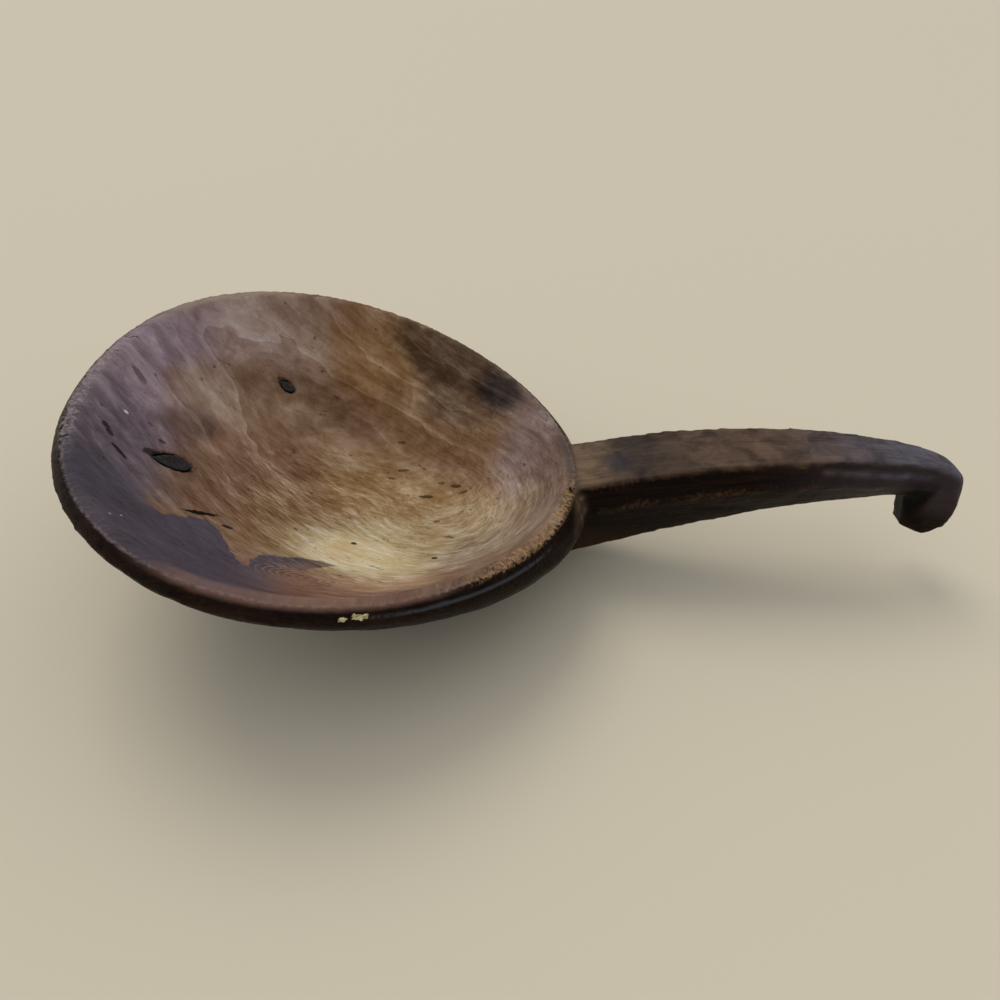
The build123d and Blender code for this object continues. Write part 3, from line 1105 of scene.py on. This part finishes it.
        # Dark flecks of grain, 1 to 2 mm long, where the floor is worked
        fleck_place = add_node(tree, "ShaderNodeMapping", {"Vector": bow, "Scale": (2.2, 0.5, 0.5)})
        flecks = add_node(
            tree, "ShaderNodeTexNoise", {"Vector": fleck_place.outputs[0], "Scale": 1.0, "Detail": 1.0}
        ).outputs["Fac"]
        flecks = add_node(
            tree, "ShaderNodeMapRange", {"Value": flecks, "From Min": 0.66, "From Max": 0.74, "To Max": 0.4}
        ).outputs[0]
        flecks = add_node(tree, "ShaderNodeMath", {0: flecks, 1: worked}, operation="MULTIPLY").outputs[0]
        pore = add_node(
            tree, "ShaderNodeMapRange", {"Value": pores, "From Min": 0.68, "From Max": 0.74, "To Max": 0.6}
        ).outputs[0]
        pore = add_node(tree, "ShaderNodeMath", {0: pore, 1: flecks}, operation="MAXIMUM").outputs[0]
        colour = add_node(
            tree, "ShaderNodeMixRGB", {"Fac": pore, "Color1": colour, "Color2": linear(self.pit)}
        ).outputs[0]
        return colour, scratches

    def lip(
        self,
        tree: bpy.types.NodeTree,
        place: bpy.types.NodeSocket,
        cloud: bpy.types.NodeSocket,
        crumbs: bpy.types.NodeSocket,
        crest: bpy.types.NodeSocket,
        under: bpy.types.NodeSocket,
    ) -> bpy.types.NodeSocket:
        """Add the lip's wear and the crest's painted highlight over the colour that it already has.

        Args:
            tree: The material's node tree.
            place: Rim frame coordinates.
            cloud: Clouds some 9 mm across.
            crumbs: Crumbs about 1 mm across.
            crest: Distance inwards from the crest.
            under: The colour under the wear.

        Returns:
            The colour with the wear and the painted highlight.
        """
        band = add_node(
            tree,
            "ShaderNodeMapRange",
            {"Value": crest, "From Min": 4.4, "From Max": 2.4},
            interpolation_type="SMOOTHSTEP",
        ).outputs[0]
        outer = add_node(
            tree,
            "ShaderNodeMapRange",
            {"Value": crest, "From Min": -0.9, "From Max": 0.2},
            interpolation_type="SMOOTHSTEP",
        ).outputs[0]
        band = add_node(tree, "ShaderNodeMath", {0: band, 1: outer}, operation="MULTIPLY").outputs[0]
        rough = add_node(
            tree,
            "ShaderNodeMapRange",
            {"Value": crumbs, "From Min": 0.44, "From Max": 0.60},
            interpolation_type="SMOOTHSTEP",
        ).outputs[0]
        # Grime dulls the flat of the lip
        grimy = add_node(
            tree, "ShaderNodeMapRange", {"Value": band, "To Min": 1.0, "To Max": self.lip_grime}
        ).outputs[0]
        colour = add_node(tree, "ShaderNodeVectorMath", {0: under, "Scale": grimy}, operation="SCALE").outputs[0]
        for patch in (
            Patch(-74, -12, 16, 34, 0, self.lip_pale, 0.6, 0.8, 0.3),
            Patch(-52, 56, 26, 15, 45, "#93806d", 0.7, 0.9, 0.8),
            Patch(74, 4, 7, 15, 0, "#4e4138", 0.75, 0.9, 0.5),
            Patch(14, -74, 48, 9, 4, "#826255", 0.6, 0.9, 0.5),
            Patch(71.5, -19, 4, 7, -15, "#46371f", 0.8, 0.9, 0.9),
            Patch(64, -38, 17, 30, -28, self.lip_ochre, 0.85, 0.8, 0.4),
        ):
            mask = self.patch_mask(tree, place, cloud, patch)
            mask = add_node(tree, "ShaderNodeMath", {0: mask, 1: band}, operation="MULTIPLY").outputs[0]
            if patch.soft < 0.9:
                mask = add_node(tree, "ShaderNodeMath", {0: mask, 1: rough}, operation="MULTIPLY").outputs[0]
            colour = add_node(
                tree, "ShaderNodeMixRGB", {"Fac": mask, "Color1": colour, "Color2": linear(patch.colour)}
            ).outputs[0]
        # The crest itself: a thin line, broken up, partly rubbed wear and partly a painted highlight on its rounding
        line = add_node(tree, "ShaderNodeMath", {0: crest, 1: -0.7}, operation="ADD").outputs[0]
        line = add_node(tree, "ShaderNodeMath", {0: line}, operation="ABSOLUTE").outputs[0]
        line = add_node(
            tree,
            "ShaderNodeMapRange",
            {"Value": line, "From Min": 0.7, "From Max": 0.1, "To Max": 0.45},
            interpolation_type="SMOOTHSTEP",
        ).outputs[0]
        line = add_node(tree, "ShaderNodeMath", {0: line, 1: rough}, operation="MULTIPLY").outputs[0]
        return add_node(
            tree, "ShaderNodeMixRGB", {"Fac": line, "Color1": colour, "Color2": linear(self.crest_wear_and_highlight)}
        ).outputs[0]

    def outside(
        self,
        tree: bpy.types.NodeTree,
        place: bpy.types.NodeSocket,
        cloud: bpy.types.NodeSocket,
        crumbs: bpy.types.NodeSocket,
        fibres: bpy.types.NodeSocket,
        marks: dict,
    ) -> bpy.types.NodeSocket:
        """Add the colour of the outer wall, the handle and the hook, with a painted highlight on the wall's ridge,
        painted sheen towards the hook and painted shade on the hook's inner side.

        Args:
            tree: The material's node tree.
            place: Rim frame coordinates.
            cloud: Clouds some 9 mm across.
            crumbs: Crumbs about 1 mm across.
            fibres: Fibres along the handle.
            marks: The mesh's measurements.

        Returns:
            The colour.
        """
        parts = add_node(tree, "ShaderNodeSeparateXYZ", {0: place})
        red = add_node(
            tree, "ShaderNodeMapRange", {"Value": fibres, "From Min": 0.45, "From Max": 0.7, "To Max": 0.6}
        ).outputs[0]
        wall = add_node(
            tree,
            "ShaderNodeMixRGB",
            {"Fac": red, "Color1": linear(self.wall), "Color2": linear(self.wall_red)},
        ).outputs[0]
        # Thin patina with ochre showing through, on the far end of the bowl
        left = add_node(
            tree,
            "ShaderNodeMapRange",
            {"Value": parts.outputs["X"], "From Min": -52.0, "From Max": -76.0, "To Max": 0.75},
            interpolation_type="SMOOTHSTEP",
        ).outputs[0]
        thin = add_node(
            tree, "ShaderNodeMapRange", {"Value": crumbs, "From Min": 0.46, "From Max": 0.64}
        ).outputs[0]
        left = add_node(tree, "ShaderNodeMath", {0: left, 1: thin}, operation="MULTIPLY").outputs[0]
        wall = add_node(
            tree, "ShaderNodeMixRGB", {"Fac": left, "Color1": wall, "Color2": linear(self.wall_ochre)}
        ).outputs[0]

        # The underside is browner, where the patina is thin
        under = add_node(
            tree,
            "ShaderNodeMapRange",
            {"Value": parts.outputs["Z"], "From Min": -9.0, "From Max": -26.0, "To Max": 0.8},
            interpolation_type="SMOOTHSTEP",
        ).outputs[0]
        worn = add_node(
            tree, "ShaderNodeMapRange", {"Value": cloud, "From Min": 0.36, "From Max": 0.62, "To Min": 0.45}
        ).outputs[0]
        under = add_node(tree, "ShaderNodeMath", {0: under, 1: worn}, operation="MULTIPLY").outputs[0]
        wall = add_node(
            tree, "ShaderNodeMixRGB", {"Fac": under, "Color1": wall, "Color2": linear(self.underside)}
        ).outputs[0]
        # Painted highlight: a thin cold gleam along the wall's ridge, under the rim and near the neck
        ridge = add_node(tree, "ShaderNodeMath", {0: parts.outputs["Z"], 1: 2.3}, operation="ADD").outputs[0]
        ridge = add_node(tree, "ShaderNodeMath", {0: ridge}, operation="ABSOLUTE").outputs[0]
        ridge = add_node(
            tree, "ShaderNodeMapRange", {"Value": ridge, "From Min": 0.55, "From Max": 0.1, "To Max": 0.6}
        ).outputs[0]
        gleam = self.patch_mask(tree, place, crumbs, Patch(48, -62, 32, 11, 34, self.ridge_highlight, 1.0, 0.8, 1.6))
        ridge = add_node(tree, "ShaderNodeMath", {0: ridge, 1: gleam}, operation="MULTIPLY").outputs[0]
        wall = add_node(
            tree, "ShaderNodeMixRGB", {"Fac": ridge, "Color1": wall, "Color2": linear(self.ridge_highlight)}
        ).outputs[0]

        # Painted sheen: the upper flanks turn a cold grey towards the hook, standing in for the sky's reflection on
        # them
        flank_sheen_share = add_node(
            tree,
            "ShaderNodeMapRange",
            {"Value": parts.outputs["X"], "From Min": 118.0, "From Max": 172.0, "To Max": 0.85},
            interpolation_type="SMOOTHSTEP",
        ).outputs[0]
        raised = add_node(
            tree, "ShaderNodeMapRange", {"Value": parts.outputs["Z"], "From Min": 12.0, "From Max": 18.0}
        ).outputs[0]
        flank_sheen_share = add_node(tree, "ShaderNodeMath", {0: flank_sheen_share, 1: raised}, operation="MULTIPLY").outputs[0]
        wall = add_node(
            tree, "ShaderNodeMixRGB", {"Fac": flank_sheen_share, "Color1": wall, "Color2": linear(self.flank_sheen)}
        ).outputs[0]
        # Painted shade: the side of the hook that faces the bowl is painted almost black
        for axis, low, high in (("X", 186.5, 184.5), ("Z", 27.0, 23.0)):
            side = add_node(
                tree, "ShaderNodeMapRange", {"Value": parts.outputs[axis], "From Min": low, "From Max": high}
            ).outputs[0]
            shaded = side if axis == "X" else add_node(
                tree, "ShaderNodeMath", {0: side, 1: shaded}, operation="MULTIPLY"
            ).outputs[0]
        beyond = add_node(
            tree, "ShaderNodeMapRange", {"Value": parts.outputs["X"], "From Min": 172.0, "From Max": 178.0}
        ).outputs[0]
        shaded = add_node(tree, "ShaderNodeMath", {0: shaded, 1: beyond}, operation="MULTIPLY").outputs[0]
        wall = add_node(
            tree, "ShaderNodeMixRGB", {"Fac": shaded, "Color1": wall, "Color2": linear(self.hook_shade)}
        ).outputs[0]

        # The handle's top: the cold grey towards the hook is partly the wood's greyer colour and partly a painted sheen
        upper = linear(self.top_neck)
        for low, high, code in (
            (79.0, 91.0, self.top_root),
            (92.0, 114.0, self.top),
            (128.0, 178.0, self.top_grey_and_sheen),
        ):
            share = add_node(
                tree,
                "ShaderNodeMapRange",
                {"Value": parts.outputs["X"], "From Min": low, "From Max": high},
                interpolation_type="SMOOTHSTEP",
            ).outputs[0]
            upper = add_node(
                tree, "ShaderNodeMixRGB", {"Fac": share, "Color1": upper, "Color2": linear(code)}
            ).outputs[0]
        smudge = add_node(
            tree,
            "ShaderNodeMapRange",
            {"Value": cloud, "From Min": 0.38, "From Max": 0.60, "To Min": 0.55, "To Max": 1.25},
        ).outputs[0]
        thread = add_node(
            tree,
            "ShaderNodeMapRange",
            {"Value": fibres, "From Min": 0.35, "From Max": 0.65, "To Min": 0.78, "To Max": 1.18},
        ).outputs[0]
        smudge = add_node(tree, "ShaderNodeMath", {0: smudge, 1: thread}, operation="MULTIPLY").outputs[0]
        upper = add_node(tree, "ShaderNodeVectorMath", {0: upper, "Scale": smudge}, operation="SCALE").outputs[0]
        colour = add_node(
            tree, "ShaderNodeMixRGB", {"Fac": marks[Mark.TOP], "Color1": wall, "Color2": upper}
        ).outputs[0]
        rubbed = add_node(
            tree, "ShaderNodeMath", {0: crumbs, 1: 0.9, 2: marks[Mark.EDGE]}, operation="MULTIPLY_ADD"
        )
        edge = add_node(
            tree,
            "ShaderNodeMapRange",
            {"Value": rubbed.outputs[0], "From Min": 0.56, "From Max": 0.9, "To Max": 0.85},
        ).outputs[0]
        patchy = add_node(
            tree, "ShaderNodeMapRange", {"Value": cloud, "From Min": 0.42, "From Max": 0.58, "To Min": 0.15}
        ).outputs[0]
        edge = add_node(tree, "ShaderNodeMath", {0: edge, 1: patchy}, operation="MULTIPLY").outputs[0]
        flank = add_node(
            tree, "ShaderNodeMapRange", {"Value": marks[Mark.TOP], "To Min": 1.0, "To Max": 0.25}
        ).outputs[0]
        edge = add_node(tree, "ShaderNodeMath", {0: edge, 1: flank}, operation="MULTIPLY").outputs[0]
        held = add_node(
            tree,
            "ShaderNodeMapRange",
            {"Value": parts.outputs["X"], "From Min": 66.0, "From Max": 84.0, "To Min": 0.15},
            interpolation_type="SMOOTHSTEP",
        ).outputs[0]
        edge = add_node(tree, "ShaderNodeMath", {0: edge, 1: held}, operation="MULTIPLY").outputs[0]
        held = add_node(
            tree,
            "ShaderNodeMapRange",
            {"Value": parts.outputs["X"], "From Min": 140.0, "From Max": 162.0, "To Min": 1.0, "To Max": 0.2},
        ).outputs[0]
        edge = add_node(tree, "ShaderNodeMath", {0: edge, 1: held}, operation="MULTIPLY").outputs[0]
        return add_node(
            tree, "ShaderNodeMixRGB", {"Fac": edge, "Color1": colour, "Color2": linear(self.rubbed)}
        ).outputs[0]

    def material(self) -> bpy.types.Material:
        """Build the finish.

        Returns:
            The material.
        """
        made = bpy.data.materials.new("hand-worn oiled fruitwood")
        made.use_nodes = True
        tree = made.node_tree
        tree.nodes.clear()
        place = self.frame.coordinates(tree)
        marks = {
            mark: add_node(
                tree, "ShaderNodeAttribute", attribute_type="GEOMETRY", attribute_name=mark.value
            ).outputs["Fac"]
            for mark in Mark
        }
        cloud = add_node(
            tree,
            "ShaderNodeTexNoise",
            {"Vector": place, "Scale": 0.11, "Detail": 6.0, "Roughness": 0.6, "Distortion": 0.6},
        ).outputs["Fac"]
        crumbs = add_node(
            tree, "ShaderNodeTexNoise", {"Vector": place, "Scale": 0.9, "Detail": 5.0, "Roughness": 0.7}
        ).outputs["Fac"]
        # Fibres that follow the arch of the handle, drawn 1 mm wide
        parts = add_node(tree, "ShaderNodeSeparateXYZ", {0: place})
        past = add_node(tree, "ShaderNodeMath", {0: parts.outputs["X"], 1: 75.0}, operation="SUBTRACT").outputs[0]
        past = add_node(tree, "ShaderNodeMath", {0: past, 1: 0.0}, operation="MAXIMUM").outputs[0]
        slope = add_node(tree, "ShaderNodeMath", {0: past, 1: 0.0012, 2: -0.42}, operation="MULTIPLY_ADD").outputs[0]
        level = add_node(
            tree, "ShaderNodeMath", {0: past, 1: slope, 2: parts.outputs["Z"]}, operation="MULTIPLY_ADD"
        ).outputs[0]
        arched = add_node(
            tree, "ShaderNodeCombineXYZ", {"X": parts.outputs["X"], "Y": parts.outputs["Y"], "Z": level}
        ).outputs[0]
        stretched = add_node(tree, "ShaderNodeMapping", {"Vector": arched, "Scale": (0.035, 0.8, 0.8)})
        fibres = add_node(
            tree,
            "ShaderNodeTexNoise",
            {"Vector": stretched.outputs[0], "Scale": 1.0, "Detail": 5.0, "Roughness": 0.62, "Distortion": 0.4},
        ).outputs["Fac"]

        crest = add_node(
            tree, "ShaderNodeMath", {0: marks[Mark.SIDE], 1: self.frame.inward(tree, place)}, operation="MINIMUM"
        ).outputs[0]
        inner, scratches = self.hollow(tree, place, cloud, crumbs, marks[Mark.STAIN])
        outer = self.outside(tree, place, cloud, crumbs, fibres, marks)
        ragged = add_node(
            tree, "ShaderNodeMath", {0: crumbs, 1: 1.2, 2: crest}, operation="MULTIPLY_ADD"
        ).outputs[0]
        within = add_node(
            tree,
            "ShaderNodeMapRange",
            {"Value": ragged, "From Min": 0.6, "From Max": 1.4},
            interpolation_type="SMOOTHSTEP",
        ).outputs[0]
        colour = add_node(
            tree, "ShaderNodeMixRGB", {"Fac": within, "Color1": outer, "Color2": inner}
        ).outputs[0]
        colour = self.lip(tree, place, cloud, crumbs, crest, colour)
        pits = None
        for spot in (*self.gouges, *self.bright):
            mask = self.patch_mask(tree, place, crumbs, spot)
            side = within if spot.x < 74 else marks[Mark.TOP]
            mask = add_node(tree, "ShaderNodeMath", {0: mask, 1: side}, operation="MULTIPLY").outputs[0]
            colour = add_node(
                tree, "ShaderNodeMixRGB", {"Fac": mask, "Color1": colour, "Color2": linear(spot.colour)}
            ).outputs[0]
            if spot in self.gouges[:-1]:
                pits = mask if pits is None else add_node(
                    tree, "ShaderNodeMath", {0: pits, 1: mask}, operation="MAXIMUM"
                ).outputs[0]
        for crack in self.cracks:
            mask = self.crack_mask(tree, place, crumbs, crack)
            mask = add_node(tree, "ShaderNodeMath", {0: mask, 1: within}, operation="MULTIPLY").outputs[0]
            colour = add_node(
                tree, "ShaderNodeMixRGB", {"Fac": mask, "Color1": colour, "Color2": linear(self.pit)}
            ).outputs[0]
            pits = add_node(tree, "ShaderNodeMath", {0: pits, 1: mask}, operation="MAXIMUM").outputs[0]

        # Gloss and relief: satin outside, duller where it is rubbed
        gloss = add_node(
            tree,
            "ShaderNodeMapRange",
            {"Value": crumbs, "From Min": 0.3, "From Max": 0.7, "To Min": 0.30, "To Max": 0.5},
        ).outputs[0]
        gloss = add_node(
            tree, "ShaderNodeMath", {0: within, 1: 0.12, 2: gloss}, operation="MULTIPLY_ADD"
        ).outputs[0]
        grain = add_node(
            tree, "ShaderNodeMixRGB", {"Fac": within, "Color1": fibres, "Color2": scratches}
        ).outputs[0]
        height = add_node(tree, "ShaderNodeMath", {0: crumbs, 1: 0.5, 2: grain}, operation="MULTIPLY_ADD").outputs[0]
        height = add_node(tree, "ShaderNodeMath", {0: pits, 1: -3.0, 2: height}, operation="MULTIPLY_ADD").outputs[0]
        relief = add_node(
            tree, "ShaderNodeBump", {"Strength": 0.8, "Distance": 0.35 * MM, "Height": height}
        ).outputs[0]
        shader = add_node(
            tree,
            "ShaderNodeBsdfPrincipled",
            {
                "Base Color": colour,
                "Roughness": gloss,
                "Normal": relief,
                "IOR": 1.5,
                "Specular IOR Level": 0.06,
            },
        )
        add_node(tree, "ShaderNodeOutputMaterial", {"Surface": shader.outputs[0]})
        return made


@dataclass(frozen=True)
class CheckedKnotWood:
    """Dead knot wood, dried and checked: black-brown, matte, and crumbly in its splits."""

    dark: str = "#1b1817"
    light: str = "#3b3633"

    def material(self) -> bpy.types.Material:
        """Build the finish.

        Returns:
            The material.
        """
        made = bpy.data.materials.new("dried dead knot wood")
        made.use_nodes = True
        tree = made.node_tree
        tree.nodes.clear()
        place = add_node(tree, "ShaderNodeTexCoord").outputs["Object"]
        # Splits about 1 mm apart along the knot
        scaled = add_node(
            tree,
            "ShaderNodeMapping",
            {"Vector": place, "Scale": (300.0, 900.0, 900.0), "Rotation": (0.0, 0.0, math.radians(-30))},
        ).outputs[0]
        splits = add_node(
            tree, "ShaderNodeTexNoise", {"Vector": scaled, "Scale": 1.0, "Detail": 6.0, "Roughness": 0.7}
        ).outputs["Fac"]
        tone = add_node(
            tree, "ShaderNodeMapRange", {"Value": splits, "From Min": 0.4, "From Max": 0.68}
        ).outputs[0]
        colour = add_node(
            tree, "ShaderNodeMixRGB", {"Fac": tone, "Color1": linear(self.dark), "Color2": linear(self.light)}
        ).outputs[0]
        relief = add_node(
            tree, "ShaderNodeBump", {"Strength": 0.7, "Distance": 0.3 * MM, "Height": splits}
        ).outputs[0]
        shader = add_node(
            tree,
            "ShaderNodeBsdfPrincipled",
            {
                "Base Color": colour,
                "Roughness": 0.8,
                "Normal": relief,
                "IOR": 1.45,
                "Specular IOR Level": 0.25,
            },
        )
        add_node(tree, "ShaderNodeOutputMaterial", {"Surface": shader.outputs[0]})
        return made


@dataclass(frozen=True)
class CreamPaint:
    """A dried fleck of cream oil paint: chalky, a little dirty."""

    clean: str = "#d8cb9a"
    dirty: str = "#9a8654"

    def material(self) -> bpy.types.Material:
        """Build the finish.

        Returns:
            The material.
        """
        made = bpy.data.materials.new("dried cream oil paint")
        made.use_nodes = True
        tree = made.node_tree
        tree.nodes.clear()
        place = add_node(tree, "ShaderNodeTexCoord").outputs["Object"]
        # Dirt in spots of about 1 mm
        dirt = add_node(
            tree, "ShaderNodeTexNoise", {"Vector": place, "Scale": 900.0, "Detail": 5.0, "Roughness": 0.65}
        ).outputs["Fac"]
        tone = add_node(tree, "ShaderNodeMapRange", {"Value": dirt, "From Min": 0.4, "From Max": 0.62}).outputs[0]
        colour = add_node(
            tree, "ShaderNodeMixRGB", {"Fac": tone, "Color1": linear(self.clean), "Color2": linear(self.dirty)}
        ).outputs[0]
        relief = add_node(tree, "ShaderNodeBump", {"Strength": 0.4, "Distance": 0.1 * MM, "Height": dirt}).outputs[0]
        shader = add_node(
            tree, "ShaderNodeBsdfPrincipled", {"Base Color": colour, "Roughness": 0.65, "Normal": relief}
        )
        add_node(tree, "ShaderNodeOutputMaterial", {"Surface": shader.outputs[0]})
        return made


# Studio

@dataclass
class Studio:
    """A plain pale floor, soft light from a window behind, and the camera at the photograph's angle."""

    floor_size: float = 60.0
    floor_colour: str = "#d9ceb4"
    backdrop: str = "#dcd9d0"
    sky: str = "#eef2fa"
    sky_side: tuple[float, float, float] = (-0.1, 0.12, 0.985)
    sky_strength: float = 0.9
    sun_from: tuple[float, float, float] = (-0.4, 0.55, 1.1)
    sun_strength: float = 0.75
    sun_spread: float = 34.0
    sun_colour: str = "#fff7ec"
    eye: tuple[float, float, float] = (0.01835, -0.19356, 0.17510)
    target: tuple[float, float, float] = (0.02939, -0.01146, 0.03)
    roll: float = 4.47
    lens: float = 27.25

    def build(self) -> None:
        """Lay the floor, hang the lights and place the camera."""
        bpy.context.scene.view_settings.view_transform = "Standard"
        bpy.ops.object.select_all(action="DESELECT")
        bpy.ops.mesh.primitive_plane_add(size=self.floor_size)
        floor = bpy.context.object
        floor.name = "studio_floor"
        floor.data.materials.append(self.floor_material())
        self.hang_lights()
        camera = bpy.data.objects.new("camera", bpy.data.cameras.new("camera"))
        bpy.context.scene.collection.objects.link(camera)
        camera.data.lens = self.lens
        camera.data.clip_start = 0.01
        camera.location = self.eye
        camera.rotation_mode = "QUATERNION"
        aim = (Vector(self.target) - Vector(self.eye)).to_track_quat("-Z", "Y")
        camera.rotation_quaternion = aim @ Quaternion((0, 0, 1), math.radians(self.roll))
        bpy.context.scene.camera = camera

    def floor_material(self) -> bpy.types.Material:
        """Matte card, with no pattern."""
        made = bpy.data.materials.new("matte studio card")
        made.use_nodes = True
        shader = made.node_tree.nodes["Principled BSDF"]
        shader.inputs["Base Color"].default_value = linear(self.floor_colour)
        shader.inputs["Roughness"].default_value = 0.85
        return made

    def hang_lights(self) -> None:
        """Light the room: a soft dome that is bright above and behind, and a wide soft window light."""
        world = bpy.data.worlds.new("studio")
        bpy.context.scene.world = world
        world.use_nodes = True
        tree = world.node_tree
        dome = tree.nodes["Background"]
        way = add_node(tree, "ShaderNodeTexCoord").outputs["Generated"]
        facing = add_node(tree, "ShaderNodeVectorMath", {0: way, 1: self.sky_side}, operation="DOT_PRODUCT")
        ramp = {"Value": facing.outputs["Value"], "From Min": -0.35, "From Max": 0.95, "To Max": self.sky_strength}
        glow = add_node(tree, "ShaderNodeMapRange", ramp, interpolation_type="SMOOTHSTEP")
        dome.inputs["Color"].default_value = linear(self.sky)
        tree.links.new(glow.outputs[0], dome.inputs["Strength"])
        backdrop = add_node(tree, "ShaderNodeBackground", {"Color": linear(self.backdrop), "Strength": 0.9})
        seen = add_node(tree, "ShaderNodeLightPath").outputs["Is Camera Ray"]
        room = add_node(tree, "ShaderNodeMixShader", {0: seen, 1: dome.outputs[0], 2: backdrop.outputs[0]})
        tree.links.new(room.outputs[0], tree.nodes["World Output"].inputs["Surface"])
        light = bpy.data.objects.new("window", bpy.data.lights.new("window", "SUN"))
        bpy.context.scene.collection.objects.link(light)
        light.data.energy = self.sun_strength
        light.data.angle = math.radians(self.sun_spread)
        light.data.color = linear(self.sun_colour)[:3]
        light.location = self.sun_from
        light.rotation_mode = "QUATERNION"
        light.rotation_quaternion = (-Vector(self.sun_from)).to_track_quat("-Z", "Y")


def dress(piece: bpy.types.Object, material: bpy.types.Material) -> None:
    """Give a piece its finish and let it ride with the paddle.

    Args:
        piece: The finished mesh.
        material: Its material.
    """
    piece.data.materials.clear()
    piece.data.materials.append(material)
    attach(piece, "root")
    LOG.info("%s: %d faces, %s", piece.name, len(piece.data.polygons), material.name)


def main() -> None:
    """Build every piece in order and report it."""
    logging.basicConfig(level=logging.INFO, format="%(name)s %(message)s")
    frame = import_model()
    nodes = frame["nodes"]
    wood = WornFruitwood().material()
    knot_wood = CheckedKnotWood().material()

    paddle = CarvedPaddle().build(nodes["paddle"])
    dress(paddle, wood)
    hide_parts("paddle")

    knots = (DeadKnot("large_knot", "large_dead_knot"), DeadKnot("small_knot", "small_dead_knot"))
    for knot in knots:
        piece = knot.build(nodes[knot.node])
        dress(piece, knot_wood)
        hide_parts(knot.node)

    fleck = PaintFleck().build(paddle)
    dress(fleck, CreamPaint().material())

    Studio().build()


if __name__ == "__main__":
    main()
